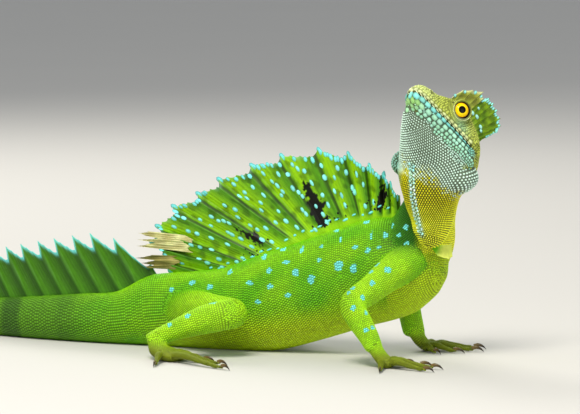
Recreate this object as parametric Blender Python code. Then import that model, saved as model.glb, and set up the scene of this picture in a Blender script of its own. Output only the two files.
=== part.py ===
"""Green basilisk, adult male, life size, lying with its chest raised and its head turned back to its right.

Metres, +Z up.  The trunk points along +X, the animal's left is +Y, and the floor is z = 0.
The origin is the middle of the flat on which the belly rests.
Tables are in millimetres and are turned into metres by MM.
"""
import math

import bmesh
import bpy
import numpy as np
from mathutils import Matrix, Vector

MM = 0.001
GAP = 0.3
FLOOR = 0.0

# Trunk, chest first: x, height of the centre, half width, depth above the centre, depth below it.
TRUNK = [
    (112.5, 50.0, 8.0, 9.0, 10.0),
    (106.0, 49.0, 14.0, 16.0, 17.5),
    (95.0, 47.0, 18.5, 24.0, 23.5),
    (82.0, 43.5, 20.5, 27.5, 25.5),
    (64.0, 38.5, 20.5, 27.0, 25.5),
    (42.0, 32.0, 20.5, 25.5, 26.0),
    (18.0, 25.5, 20.5, 24.0, 26.0),
    (-4.0, 21.5, 19.5, 20.5, 22.6),
    (-24.0, 20.0, 17.0, 19.5, 20.8),
    (-42.0, 18.0, 14.0, 19.5, 18.6),
]
CHEST_FRONT = (115.3, 0.0, 50.5)
TRUNK_SIDES = 24

# Tail: lengths along its centreline, measured from the last trunk station.
TAIL_LENGTH = 480.0
TAIL_BASE_WIDTH = 12.4
TAIL_BASE_DEPTH = 15.2
TAIL_TIP_RADIUS = 0.9
TAIL_BEND = 24.0
TAIL_STATIONS = 22
TAIL_CUTS = (5, 10, 15)

# Head: turned from +X, tipped up, rolled; place of the front of the mouth line.
HEAD_TURN = -120.0
HEAD_PITCH = 47.0
HEAD_ROLL = 6.6
HEAD_ORIGIN = (107.0, -35.8, 137.0)
# Back from the snout: distance, half width, height above the mouth line, depth below it.
HEAD = [
    (0.0, 2.8, 4.2, 2.2),
    (1.4, 4.4, 6.4, 3.6),
    (4.0, 5.8, 8.2, 4.8),
    (8.0, 7.0, 9.4, 5.6),
    (13.0, 8.4, 11.2, 6.4),
    (18.0, 9.8, 14.4, 7.4),
    (23.0, 11.0, 17.4, 8.6),
    (28.0, 12.2, 18.4, 9.8),
    (33.0, 13.2, 18.0, 11.0),
    (38.0, 13.8, 16.6, 12.0),
    (44.0, 13.4, 14.6, 12.6),
    (49.5, 11.2, 11.6, 11.4),
    (53.6, 8.2, 8.2, 9.0),
]
MOUTH_CORNER = 40.0
JAW_END = 48.0
MOUTH_HALF_GAP = 0.25
EYE = (-25.6, 8.0, 11.2)
EYE_RADIUS = 5.3
EYE_LOOK = (0.22, 0.96, 0.12)
LID_RING = 4.7
LID_TUBE = 1.25
LID_LIFT = 3.0
NOSTRIL = (-7.4, 4.9, 6.6)
NOSTRIL_RADIUS = 0.9
EAR = (-45.0, 14.2, 4.5)
EAR_RADIUS = 3.2

# Neck: x, y, z, half width, half depth, and the way its back faces.
NECK = [
    (95.0, 0.0, 50.0, 16.0, 19.0, (-0.9, 0.0, 0.45)),
    (101.0, 0.0, 62.0, 15.5, 18.0, (-0.92, 0.1, 0.4)),
    (105.5, -1.2, 75.0, 12.6, 14.6, (-0.85, 0.3, 0.4)),
    (110.5, -2.2, 87.0, 12.0, 13.3, (-0.55, 0.6, 0.4)),
    (117.5, -2.0, 97.0, 12.5, 12.5, (-0.1, 0.8, 0.5)),
    (121.0, -3.0, 104.5, 11.0, 11.0, (0.25, 0.7, 0.65)),
    (119.5, -8.0, 111.0, 8.0, 8.0, (0.27, 0.69, 0.68)),
]
# Throat sac, chin to lower tip: x, y, z, half width, half depth.
THROAT = [
    (106.2, -33.0, 129.5, 4.9, 2.6),
    (108.0, -31.3, 123.5, 8.0, 4.4),
    (110.3, -27.8, 115.0, 11.9, 7.0),
    (111.8, -23.6, 107.2, 15.2, 9.6),
    (112.6, -19.8, 100.5, 17.4, 12.0),
    (112.0, -18.0, 90.7, 16.0, 12.5),
    (111.5, -16.5, 81.5, 13.5, 11.0),
    (111.5, -15.2, 72.4, 11.0, 8.4),
    (110.8, -16.6, 63.4, 8.2, 6.0),
    (109.6, -18.2, 58.8, 4.0, 3.0),
]
THROAT_FACE = (0.342, -0.94, 0.0)
# Full jowls behind the jaw: centre, half sizes across, along and up, and the turn about +Z.
JOWLS = [
    ((123.5, -15.5, 92.5), (11.0, 9.0, 8.2), 20.0),
    ((128.3, -13.0, 93.2), (6.8, 6.6, 6.6), 20.0),
    ((97.8, -14.5, 99.8), (8.0, 7.6, 7.2), 20.0),
]

# Limbs: x, y, z, half width, half thickness; the cut between two nodes is at the named station.
FORELEG_RIGHT = [
    (100.0, -9.0, 51.0, 10.0, 10.0),
    (92.0, -21.0, 44.5, 8.0, 8.6),
    (84.5, -33.0, 36.5, 6.7, 7.2),
    (78.3, -42.0, 30.5, 6.2, 6.6),
    (83.0, -45.0, 23.0, 6.2, 6.2),
    (88.5, -46.8, 15.5, 5.6, 5.2),
    (92.0, -47.4, 9.2, 6.0, 4.2),
]
FORELEG_LEFT = [
    (99.0, 8.0, 50.0, 10.0, 10.0),
    (91.5, 19.5, 44.5, 8.0, 8.6),
    (84.5, 30.0, 38.0, 6.7, 7.2),
    (79.5, 37.0, 32.0, 6.2, 6.6),
    (82.5, 33.0, 24.0, 6.4, 6.4),
    (86.5, 27.5, 15.5, 6.0, 5.6),
    (89.5, 23.5, 8.8, 6.2, 4.4),
]
ELBOW = 3
HINDLEG_RIGHT = [
    (-27.0, -5.0, 20.0, 12.0, 12.0),
    (-14.0, -17.0, 20.5, 10.5, 11.0),
    (1.0, -28.5, 21.5, 8.8, 9.2),
    (13.0, -37.0, 22.5, 7.2, 7.6),
    (1.0, -43.0, 20.0, 7.0, 7.6),
    (-14.0, -48.5, 14.5, 5.2, 5.4),
    (-27.5, -52.5, 8.2, 4.2, 4.2),
]
KNEE = 3
LIMB_SIDES = 12

# Digits: heading from the hand's own heading, length with claw, where it leaves the palm's edge (0 to 1).
HAND_DIGITS = [(50.0, 15.0, 0.0), (22.0, 22.0, 0.28), (4.0, 29.0, 0.5), (-14.0, 30.0, 0.74), (-70.0, 20.0, 1.0)]
FOOT_DIGITS = [(34.0, 14.0, 0.0), (18.0, 23.0, 0.25), (6.0, 36.0, 0.5), (-6.0, 50.0, 0.75), (-52.0, 25.0, 1.0)]
PALM_LENGTH = 9.0
PALM_HALF_WIDTH = 6.6
PALM_HALF_HEIGHT = 2.7
SOLE_LENGTH = 22.0
SOLE_HALF_WIDTH = 7.2
SOLE_HALF_HEIGHT = 3.2
DIGIT_RADIUS = 2.0
DIGIT_TIP_RADIUS = 1.35
DIGIT_ARCH = 2.6
CLAW_LENGTH = 6.0
CLAW_RADIUS = 0.95
DIGIT_SIDES = 7

# Sail on the back, front ray first: x and height of the ray's foot, its length, its lean back from +X.
SAIL_RAYS = [
    (89.5, 77.0, 5.0, 100.0),
    (85.2, 75.4, 13.0, 97.0),
    (80.3, 73.3, 19.9, 90.0),
    (75.5, 72.6, 24.8, 97.6),
    (70.1, 71.0, 33.0, 106.3),
    (63.1, 68.6, 40.3, 117.2),
    (51.8, 65.2, 45.1, 127.6),
    (45.2, 62.9, 49.5, 138.9),
    (38.2, 59.6, 56.0, 149.9),
    (30.0, 55.2, 57.5, 154.6),
    (21.8, 51.4, 61.3, 159.5),
    (14.7, 48.0, 61.0, 166.6),
    (8.1, 45.2, 56.3, 171.8),
    (1.5, 41.9, 39.0, 177.4),
]
SAIL_ROOT = 3.0
SAIL_PLEAT = 1.5
SAIL_NOTCH = 0.93
VANE_HALF_THICKNESS = 0.32
RAY_HALF_THICKNESS = 0.55
VANE_ROWS = 6

# Crest on the tail: where it starts and ends along the tail, its greatest height and the lean of its rays.
TAIL_CREST_START = -4.0
TAIL_CREST_SPLIT = 109.0
TAIL_CREST_END = 250.0
TAIL_CREST_HEIGHT = 36.0
TAIL_CREST_LEAN = 122.0
TAIL_CREST_PITCH = 11.0

# Crests on the head, in head distances: foot and margin of each, front to back.
BROW_CREST_FOOT = [(-22.0, 16.0), (-34.0, 16.0)]
BROW_CREST_MARGIN = [(-23.6, 21.0), (-25.5, 26.2), (-29.2, 30.3), (-33.6, 34.4), (-38.4, 37.6), (-39.6, 34.6)]
MAIN_CREST_FOOT = [(-35.6, 15.5), (-49.5, 8.5)]
MAIN_CREST_MARGIN = [
    (-41.6, 35.0), (-43.5, 38.2), (-48.2, 37.8), (-53.2, 37.0), (-57.7, 34.8), (-58.6, 31.0), (-56.4, 26.0),
    (-53.6, 21.4),
]

LEAF_GREEN = (0.16, 0.48, 0.04, 1.0)
YELLOW_GREEN = (0.34, 0.55, 0.06, 1.0)
TURQUOISE = (0.22, 0.62, 0.48, 1.0)
FIN_GREEN = (0.10, 0.42, 0.05, 1.0)
EYE_GOLD = (0.75, 0.42, 0.02, 1.0)
SKIN_ROUGHNESS = 0.55
EYE_ROUGHNESS = 0.12


def clear_scene():
    for thing in list(bpy.data.objects):
        bpy.data.objects.remove(thing, do_unlink=True)


def unit(vector):
    vector = np.asarray(vector, float)
    return vector / np.linalg.norm(vector)


def smooth_rows(rows, places):
    """Rows of a table, read at any place between its stations on a smooth curve; place 1.5 is half way on."""
    rows = np.asarray(rows, float)
    keys = np.arange(len(rows))
    slopes = np.gradient(rows, keys, axis=0)
    out = []
    for place in places:
        k = min(int(place), len(rows) - 2)
        t = place - k
        out.append(
            rows[k] * (2 * t**3 - 3 * t**2 + 1) + slopes[k] * (t**3 - 2 * t**2 + t)
            + rows[k + 1] * (3 * t**2 - 2 * t**3) + slopes[k + 1] * (t**3 - t**2)
        )
    return np.array(out)


def mesh_object(name, points, faces):
    """Object from points in millimetres and faces, with its faces turned outward."""
    work = bmesh.new()
    verts = [work.verts.new(Vector(p) * MM) for p in np.asarray(points, float).tolist()]
    for face in faces:
        work.faces.new([verts[i] for i in face])
    bmesh.ops.recalc_face_normals(work, faces=work.faces)
    mesh = bpy.data.meshes.new(name)
    work.to_mesh(mesh)
    work.free()
    thing = bpy.data.objects.new(name, mesh)
    bpy.context.scene.collection.objects.link(thing)
    return thing


def loft(name, rings, front=None, back=None):
    """Closed solid through rings of equal point counts; an end is a flat cap, or a point where one is given."""
    rings = [np.asarray(ring, float) for ring in rings]
    sides = len(rings[0])
    points = np.concatenate(rings)
    faces = []
    for k in range(len(rings) - 1):
        for i in range(sides):
            j = (i + 1) % sides
            faces.append((k * sides + i, k * sides + j, (k + 1) * sides + j, (k + 1) * sides + i))
    for start, tip, ring in ((0, front, rings[0]), ((len(rings) - 1) * sides, back, rings[-1])):
        centre = len(points)
        points = np.concatenate([points, [ring.mean(axis=0) if tip is None else tip]])
        for i in range(sides):
            faces.append((start + i, start + (i + 1) % sides, centre))
    return mesh_object(name, points, faces)


def ring_frames(centres, backs):
    """Side and back directions square to a centreline, at each of its points."""
    centres = np.asarray(centres, float)
    steps = np.diff(centres, axis=0)
    steps = steps / np.linalg.norm(steps, axis=1)[:, None]
    tangents = np.vstack([steps[:1], steps[:-1] + steps[1:], steps[-1:]])
    frames = []
    for tangent, back in zip(tangents, backs):
        tangent = unit(tangent)
        side = unit(np.cross(tangent, back))
        frames.append((tangent, side, np.cross(side, tangent)))
    return frames


def tube_rings(centres, widths, ups, downs, backs, sides, peak=0.0):
    """Rings round a centreline; a peak above 0 narrows the upper half like a roof."""
    rings = []
    angles = np.linspace(0, 2 * math.pi, sides, endpoint=False)
    rows = zip(centres, widths, ups, downs, ring_frames(centres, backs))
    for centre, width, up, down, (_, side, back) in rows:
        roof = 1 - peak * np.maximum(np.sin(angles), 0)
        across = width * np.cos(angles) * roof
        along = np.where(np.sin(angles) > 0, up, down) * np.sin(angles)
        rings.append(np.asarray(centre) + across[:, None] * side + along[:, None] * back)
    return rings


def rest_on_floor(rings):
    for ring in rings:
        ring[:, 2] = np.maximum(ring[:, 2], FLOOR)
    return rings


def part_ring(ring, toward, sign):
    """The ring moved by half the gap along a direction, so that two nodes meet face to face."""
    return ring + sign * 0.5 * GAP * unit(toward)


def boolean(target, operation, cutter=None, group=None):
    """Applies a Boolean; every piece here is closed, which the manifold solver needs."""
    bpy.context.view_layer.objects.active = target
    change = target.modifiers.new("change", "BOOLEAN")
    change.operation = operation
    change.solver = "MANIFOLD"
    if group:
        change.operand_type = "COLLECTION"
        change.collection = group
    else:
        change.object = cutter
    bpy.ops.object.modifier_apply(modifier=change.name)


def fuse(target, pieces):
    """One union of a node with the closed pieces that grow from it."""
    group = bpy.data.collections.new("pieces")
    for piece in pieces:
        group.objects.link(piece)
    boolean(target, "UNION", group=group)
    for piece in pieces:
        bpy.data.objects.remove(piece, do_unlink=True)
    bpy.data.collections.remove(group)


def keep_largest(thing):
    """Keeps only the largest closed surface, with its thin slivers welded and its faces split in triangles."""
    work = bmesh.new()
    work.from_mesh(thing.data)
    bmesh.ops.remove_doubles(work, verts=work.verts, dist=0.00001)
    bmesh.ops.dissolve_degenerate(work, edges=work.edges, dist=0.00001)
    bmesh.ops.triangulate(work, faces=work.faces)
    work.faces.ensure_lookup_table()
    seen = set()
    islands = []
    for face in work.faces:
        if face.index in seen:
            continue
        island, stack = [], [face]
        seen.add(face.index)
        while stack:
            current = stack.pop()
            island.append(current)
            for edge in current.edges:
                for other in edge.link_faces:
                    if other.index not in seen:
                        seen.add(other.index)
                        stack.append(other)
        islands.append(island)
    islands.sort(key=lambda faces: sum(f.calc_area() for f in faces))
    loose = [face for island in islands[:-1] for face in island]
    bmesh.ops.delete(work, geom=loose, context="FACES")
    bmesh.ops.delete(work, geom=[v for v in work.verts if not v.link_faces], context="VERTS")
    work.to_mesh(thing.data)
    work.free()


def cut_clear(thing, cutters):
    for cutter in cutters:
        boolean(thing, "DIFFERENCE", cutter)
    keep_largest(thing)


def remove(things):
    for thing in things:
        bpy.data.objects.remove(thing, do_unlink=True)


def finish(thing, colour, roughness=SKIN_ROUGHNESS, smooth=True):
    material = bpy.data.materials.new(thing.name)
    material.use_nodes = True
    shader = material.node_tree.nodes["Principled BSDF"]
    shader.inputs["Base Color"].default_value = colour
    shader.inputs["Roughness"].default_value = roughness
    shader.inputs["Metallic"].default_value = 0.0
    thing.data.materials.clear()
    thing.data.materials.append(material)
    if smooth:
        thing.data.shade_smooth()


def tail_path():
    """Centres along the tail: it lies on the floor and swings gently to one side and back."""
    steps = np.linspace(0, TAIL_LENGTH, TAIL_STATIONS + 1)
    x, y = TRUNK[-1][0], 0.0
    rows = []
    for k, along in enumerate(steps):
        share = along / TAIL_LENGTH
        if k:
            step = along - steps[k - 1]
            swing = math.radians(TAIL_BEND) * math.sin(2 * math.pi * (share - 0.5 / TAIL_STATIONS) ** 1.3)
            x -= step * math.cos(swing)
            y += step * math.sin(swing)
        width = TAIL_TIP_RADIUS + (TAIL_BASE_WIDTH - TAIL_TIP_RADIUS) * (1 - share) ** 1.7
        depth = TAIL_TIP_RADIUS + (TAIL_BASE_DEPTH - TAIL_TIP_RADIUS) * (1 - share) ** 1.9
        rows.append((x, y, depth - 0.25, width, depth, depth))
    return rows


def spine_rows():
    """Trunk and tail as one row of stations: x, y, z, half width, depth above, depth below."""
    trunk = [(x, 0.0, z, width, up, down) for x, z, width, up, down in TRUNK]
    count = 2 * len(trunk) - 1
    fine = smooth_rows(trunk, np.linspace(0, len(trunk) - 1, count))
    return [tuple(row) for row in fine], tail_path()[1:]


def spine_rings(rows, grow=0.0):
    rows = np.asarray(rows, float)
    backs = [(0.0, 0.0, 1.0)] * len(rows)
    rings = tube_rings(
        rows[:, :3], rows[:, 3] + grow, rows[:, 4] + grow, rows[:, 5] + grow, backs, TRUNK_SIDES, peak=0.2
    )
    return rings


def build_spine():
    """The torso and the tail's four lengths, and the grown copy that clears what joins the torso."""
    trunk, tail = spine_rows()
    rows = trunk + tail
    rings = rest_on_floor(spine_rings(rows))
    toward = np.diff(np.asarray(rows)[:, :3], axis=0)
    cuts = [len(trunk) - 1] + [len(trunk) - 1 + k for k in TAIL_CUTS]
    names = ["torso", "tail_base", "tail_middle", "tail_rear", "tail_tip"]
    ends = [0] + cuts + [len(rows) - 1]
    for name, first, last in zip(names, ends[:-1], ends[1:]):
        lengths = [ring.copy() for ring in rings[first:last + 1]]
        if first:
            lengths[0] = part_ring(lengths[0], toward[first], 1)
        if last < len(rows) - 1:
            lengths[-1] = part_ring(lengths[-1], toward[last - 1], -1)
        front = CHEST_FRONT if first == 0 else None
        finish(loft(name, lengths, front=front), LEAF_GREEN)
    front = np.asarray(CHEST_FRONT) + np.array([GAP, 0, 0])
    return loft("grown_spine", spine_rings(rows, GAP), front=front)


def limb_rings(rows, backs, grow=0.0):
    rows = np.asarray(rows, float)
    return tube_rings(rows[:, :3], rows[:, 3] + grow, rows[:, 4] + grow, rows[:, 4] + grow, backs, LIMB_SIDES)


def build_limb(rows, joint, names, trunk_parts):
    """Upper and lower length of one limb, parted at its joint; the root is cut clear of the torso.

    Gives the last ring, and a grown copy of the lower length that clears the foot.
    """
    backs = [(0.0, 0.0, 1.0)] * len(rows)
    rings = limb_rings(rows, backs)
    tangents = [frame[0] for frame in ring_frames(np.asarray(rows)[:, :3], backs)]
    upper = [ring.copy() for ring in rings[:joint + 1]]
    upper[-1] = part_ring(upper[-1], tangents[joint], -1)
    lower = [ring.copy() for ring in rings[joint:]]
    lower[0] = part_ring(lower[0], tangents[joint], 1)
    lower[-1] = part_ring(lower[-1], tangents[-1], -1)
    grown = limb_rings(rows, backs, GAP)[joint:]
    grown[-1] = part_ring(grown[-1], tangents[-1], 1)
    root = loft(names[0], upper)
    cut_clear(root, trunk_parts)
    finish(root, LEAF_GREEN)
    finish(loft(names[1], lower), LEAF_GREEN)
    return rings[-1] - tangents[-1], loft("grown_" + names[1], grown)


def digit(name, start, heading, length, lift, radius):
    """One digit with its claw: it arches from the palm, rests on its tip pad and hooks its claw down."""
    way = np.array([math.cos(heading), math.sin(heading), 0.0])
    flesh = length - CLAW_LENGTH * 0.8
    shape = [(0.0, lift, 1.0), (0.3, lift + 0.4 * DIGIT_ARCH, 1.0), (0.62, lift * 0.75 + 0.3, 0.88), (0.88, 1.3, 0.8),
             (1.0, 1.45, 0.62)]
    centres = [start + way * flesh * share + np.array([0, 0, height - start[2]]) for share, height, _ in shape]
    radii = [DIGIT_TIP_RADIUS + (radius - DIGIT_TIP_RADIUS) * (1 - share) for share, _, _ in shape]
    radii = [r * swell for r, (_, _, swell) in zip(radii, shape)]
    backs = [(0.0, 0.0, 1.0)] * len(centres)
    rings = rest_on_floor(tube_rings(centres, radii, radii, radii, backs, DIGIT_SIDES))
    flesh_piece = loft(name, rings)
    claw_shape = [(-1.2, 1.9, 1.0), (1.6, 2.3, 0.85), (3.6, 1.6, 0.5)]
    claw_centres = [start + way * (flesh + ahead) + np.array([0, 0, high - start[2]]) for ahead, high, _ in claw_shape]
    claw_radii = [CLAW_RADIUS * share for _, _, share in claw_shape]
    tip = start + way * (flesh + 0.85 * CLAW_LENGTH) + np.array([0, 0, 0.1 - start[2]])
    claw = loft(name + "_claw", tube_rings(claw_centres, claw_radii, claw_radii, claw_radii, backs[:3], 6), back=tip)
    return [flesh_piece, claw]


def build_foot(name, wrist_ring, shank, wrist, heading, digits, length, half_width, half_height, mirror):
    """Palm or sole that starts at the wrist's own ring, with its five digits and their claws."""
    heading = math.radians(heading)
    way = np.array([math.cos(heading), math.sin(heading), 0.0])
    side = np.array([-way[1], way[0], 0.0]) * mirror
    wrist = np.asarray(wrist[:3], float)
    knuckle = wrist + way * length
    rows = [
        (wrist + way * length * 0.35, wrist[2] * 0.62, half_width * 0.75, half_height * 1.25),
        (wrist + way * length * 0.7, half_height, half_width, half_height * 1.1),
        (knuckle, half_height * 0.85, half_width * 0.96, half_height * 0.85),
    ]
    centres = [np.array([p[0], p[1], z]) for p, z, _, _ in rows]
    widths = [w for _, _, w, _ in rows]
    heights = [h for _, _, _, h in rows]
    backs = [(0.0, 0.0, 1.0)] * 3
    rings = rest_on_floor(tube_rings(centres, widths, heights, heights, backs, LIMB_SIDES))
    palm = loft(name, [align_ring(wrist_ring, rings[0])] + rings)
    pieces = []
    for number, (turn, size, share) in enumerate(digits):
        start = wrist + way * length * (0.78 - 0.35 * abs(share - 0.55) ** 1.5)
        start = start + side * half_width * (0.8 - 1.6 * share)
        start[2] = half_height
        pieces += digit(f"{name}_{number}", start, heading + math.radians(turn) * mirror, size, half_height * 0.95,
                        DIGIT_RADIUS)
    fuse(palm, pieces)
    cut_clear(palm, [shank])
    finish(palm, YELLOW_GREEN)
    remove([shank])


def align_ring(ring, other):
    """The same ring, started at the point that makes the straightest walls to another ring."""
    best = None
    for flip in (ring, ring[::-1]):
        for shift in range(len(ring)):
            turned = np.roll(flip, shift, axis=0)
            apart = np.linalg.norm((turned - turned.mean(0)) - (other - other.mean(0)), axis=1).sum()
            if best is None or apart < best[0]:
                best = (apart, turned)
    return best[1]


def head_axes():
    """Forward, left and up of the turned head."""
    turn = Matrix.Rotation(math.radians(HEAD_TURN), 3, "Z")
    tip = Matrix.Rotation(-math.radians(HEAD_PITCH), 3, "Y")
    roll = Matrix.Rotation(math.radians(HEAD_ROLL), 3, "X")
    return np.array(turn @ tip @ roll)


def head_points(points):
    """World places of points given forward, left and up of the front of the mouth."""
    return np.asarray(HEAD_ORIGIN) + np.asarray(points, float) @ head_axes().T


def head_outline(angle, width, top, bottom):
    """Point of the head's cross-section: a broad roof above, a rounder jaw below."""
    c, s = math.cos(angle), math.sin(angle)
    if s >= 0:
        return width * math.copysign(abs(c) ** 0.8, c) * (1 - 0.12 * s), top * s ** 0.9
    return width * math.copysign(abs(c) ** 0.85, c) * (1 + 0.12 * s), -bottom * (-s) ** 0.9


def mouth_drop(distance):
    """Share of the way from the mouth line down to the underside, which the parting takes behind the mouth."""
    return min(max((distance - MOUTH_CORNER) / (JAW_END - MOUTH_CORNER), 0.0), 1.0)


def head_ring(row, upper, grow=0.0, arc=15, chord=3):
    """Ring of the head above the parting, or of the jaw below it."""
    distance, width, top, bottom = row
    low = -0.5 * math.pi * 0.92 * mouth_drop(distance)
    if upper:
        angles = np.linspace(low, math.pi - low, arc)
        offset = MOUTH_HALF_GAP
    else:
        angles = np.linspace(low, -math.pi - low, arc)
        offset = -MOUTH_HALF_GAP
    edge = [head_outline(a, width + grow, top + grow, bottom + grow) for a in angles]
    edge[0] = (edge[0][0], edge[0][1] + offset)
    edge[-1] = (edge[-1][0], edge[-1][1] + offset)
    for k in range(1, chord + 1):
        share = k / (chord + 1)
        edge.append((edge[arc - 1][0] * (1 - share) + edge[0][0] * share, edge[0][1]))
    return head_points([(-distance, y, z) for y, z in edge])


def whole_head_ring(row, grow=0.0, sides=28):
    distance, width, top, bottom = row
    angles = np.linspace(0, 2 * math.pi, sides, endpoint=False)
    edge = [head_outline(a, width + grow, top + grow, bottom + grow) for a in angles]
    return head_points([(-distance, y, z) for y, z in edge])


def ball(name, centre, radius, segments=20, rows=12):
    bpy.ops.mesh.primitive_uv_sphere_add(segments=segments, ring_count=rows, radius=radius * MM)
    thing = bpy.context.object
    thing.name = name
    thing.location = Vector(centre) * MM
    bpy.context.view_layer.update()
    thing.data.transform(thing.matrix_world)
    thing.matrix_world = Matrix.Identity(4)
    return thing


def lid_ring(name, centre, look):
    """The folded lids round one eye."""
    bpy.ops.mesh.primitive_torus_add(
        major_segments=22, minor_segments=8, major_radius=LID_RING * MM, minor_radius=LID_TUBE * MM
    )
    thing = bpy.context.object
    thing.name = name
    spin = Vector((0, 0, 1)).rotation_difference(Vector(look)).to_matrix().to_4x4()
    thing.data.transform(Matrix.Translation(Vector(centre) * MM) @ spin)
    return thing


def build_head(grown_parts):
    """Upper head with sockets, lids, nostrils and ears, the lower jaw, and the two eyes."""
    count = 2 * len(HEAD) - 1
    rows = smooth_rows(HEAD, np.linspace(0, len(HEAD) - 1, count))
    head = loft("head", [head_ring(row, True) for row in rows], back=None)
    jaw_rows = [row for row in rows if row[0] <= JAW_END - 1.5]
    jaw = loft("lower_jaw", [head_ring(row, False) for row in jaw_rows])
    grown = loft("grown_head", [whole_head_ring(row, GAP + 0.05) for row in rows])
    axes = head_axes()
    lids, sockets, pits = [], [], []
    for side, label in ((1, "left"), (-1, "right")):
        flip = np.array([1, side, 1])
        centre = head_points(np.array(EYE) * flip)
        look = unit(axes @ (np.array(EYE_LOOK) * flip))
        eye = ball("eye_" + label, centre, EYE_RADIUS)
        finish(eye, EYE_GOLD, EYE_ROUGHNESS)
        sockets.append(ball("socket", centre, EYE_RADIUS + GAP))
        lids.append(lid_ring("lid", centre + look * LID_LIFT, look))
        pits.append(ball("pit", head_points(np.array(NOSTRIL) * flip), NOSTRIL_RADIUS, 10, 6))
        pits.append(ball("pit", head_points(np.array(EAR) * flip), EAR_RADIUS, 14, 8))
    fuse(head, lids)
    cut_clear(head, sockets + pits)
    keep_largest(jaw)
    finish(head, YELLOW_GREEN)
    finish(jaw, TURQUOISE)
    grown_eyes = sockets
    remove(pits)
    grown_parts["head"] = grown
    grown_parts["eyes"] = grown_eyes


def jowl(centre, halves, turn):
    piece = ball("jowl", (0, 0, 0), 1.0, 16, 10)
    size = Matrix.Diagonal((*halves, 1.0))
    spin = Matrix.Rotation(math.radians(turn), 4, "Z")
    piece.data.transform(Matrix.Translation(Vector(centre) * MM) @ spin @ size)
    return piece


def build_neck(grown_parts, spine):
    """Neck from chest to head, with the full throat sac that hangs below the jaw."""
    rows = [row[:5] for row in NECK]
    backs = np.array([row[5] for row in NECK])
    places = np.linspace(0, len(NECK) - 1, 2 * len(NECK) - 1)
    fine = smooth_rows(rows, places)
    fine_backs = smooth_rows(backs, places)
    neck = loft("neck", tube_rings(fine[:, :3], fine[:, 3], fine[:, 4], fine[:, 4], fine_backs, 20))
    grown = tube_rings(fine[:, :3], fine[:, 3] + GAP, fine[:, 4] + GAP, fine[:, 4] + GAP, fine_backs, 20)
    grown_parts["neck"] = loft("grown_neck", grown)
    fine = smooth_rows(THROAT, np.linspace(0, len(THROAT) - 1, 2 * len(THROAT) - 1))
    faces = [THROAT_FACE] * len(fine)
    tip = fine[-1, :3] - np.array([0, 0, 2.2])
    sac = loft("sac", tube_rings(fine[:, :3], fine[:, 3], fine[:, 4], fine[:, 4], faces, 20), back=tip)
    jowls = [jowl(*row) for row in JOWLS]
    fuse(neck, [sac] + jowls)
    cut_clear(neck, [grown_parts["head"], spine])
    finish(neck, YELLOW_GREEN)


def fin(name, feet, tips, lateral, pleats, halves, rows=VANE_ROWS):
    """Thin pleated vane: a column from each foot to its tip, both faces split into triangles alike."""
    lateral = unit(lateral)
    columns = len(feet)
    shares = np.linspace(0, 1, rows + 1)
    front, back = [], []
    for foot, tip, pleat, half in zip(feet, tips, pleats, halves):
        for share in shares:
            middle = foot + (tip - foot) * share + lateral * pleat * min(1.0, share * 1.6)
            thin = half * (1 - 0.35 * share)
            front.append(middle + lateral * thin)
            back.append(middle - lateral * thin)
    count = len(front)
    points = np.array(front + back)
    faces = []
    width = rows + 1
    for c in range(columns - 1):
        for r in range(rows):
            a, b = c * width + r, (c + 1) * width + r
            for shift, flip in ((0, False), (count, True)):
                one = [a + shift, b + shift, b + 1 + shift]
                two = [a + shift, b + 1 + shift, a + 1 + shift]
                faces.append(one[::-1] if flip else one)
                faces.append(two[::-1] if flip else two)
    border = [c * width for c in range(columns)]
    border += [(columns - 1) * width + r for r in range(1, width)]
    border += [c * width + rows for c in range(columns - 2, -1, -1)]
    border += [r for r in range(rows - 1, 0, -1)]
    for a, b in zip(border, border[1:] + border[:1]):
        faces.append((a, a + count, b + count, b))
    return mesh_object(name, points, faces)


def pleated_columns(feet, tips, pleat, notch):
    """Columns between named rays: at each ray a ridge and a tooth, close behind it a notch in a crease."""
    all_feet, all_tips, pleats, halves = [], [], [], []
    for k in range(len(feet)):
        all_feet.append(feet[k])
        all_tips.append(tips[k])
        pleats.append(pleat)
        halves.append(RAY_HALF_THICKNESS)
        if k + 1 == len(feet):
            break
        for share, reach, offset in ((0.2, notch, -0.7), (0.62, notch * 0.5 + 0.5, -0.05)):
            foot = feet[k] * (1 - share) + feet[k + 1] * share
            tip = tips[k] * (1 - share) + tips[k + 1] * share
            all_feet.append(foot)
            all_tips.append(foot + (tip - foot) * reach)
            pleats.append(offset * pleat)
            halves.append(VANE_HALF_THICKNESS)
    return all_feet, all_tips, pleats, halves


def build_sail(spine, neck):
    """The pleated sail on the back, its foot cut to the line of the spine."""
    feet, tips = [], []
    for x, z, length, lean in SAIL_RAYS:
        way = np.array([math.cos(math.radians(lean)), 0.0, math.sin(math.radians(lean))])
        foot = np.array([x, 0.0, z])
        feet.append(foot - np.array([0.0, 0.0, SAIL_ROOT]))
        tips.append(foot + way * length)
    columns = pleated_columns(feet, tips, SAIL_PLEAT, SAIL_NOTCH)
    sail = fin("dorsal_crest", *columns[:2], (0, 1, 0), *columns[2:])
    cut_clear(sail, [spine, neck])
    finish(sail, FIN_GREEN, smooth=False)


def tail_crest_height(along):
    """Height of the tail's crest at a distance along it: it rises soon behind the hips and runs out slowly."""
    rise = min(1.0, (along - TAIL_CREST_START) / 14.0)
    share = (along - TAIL_CREST_START) / (TAIL_CREST_END - TAIL_CREST_START)
    return TAIL_CREST_HEIGHT * (0.35 + 0.65 * rise) * max(0.06, 1 - share ** 1.6)


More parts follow.
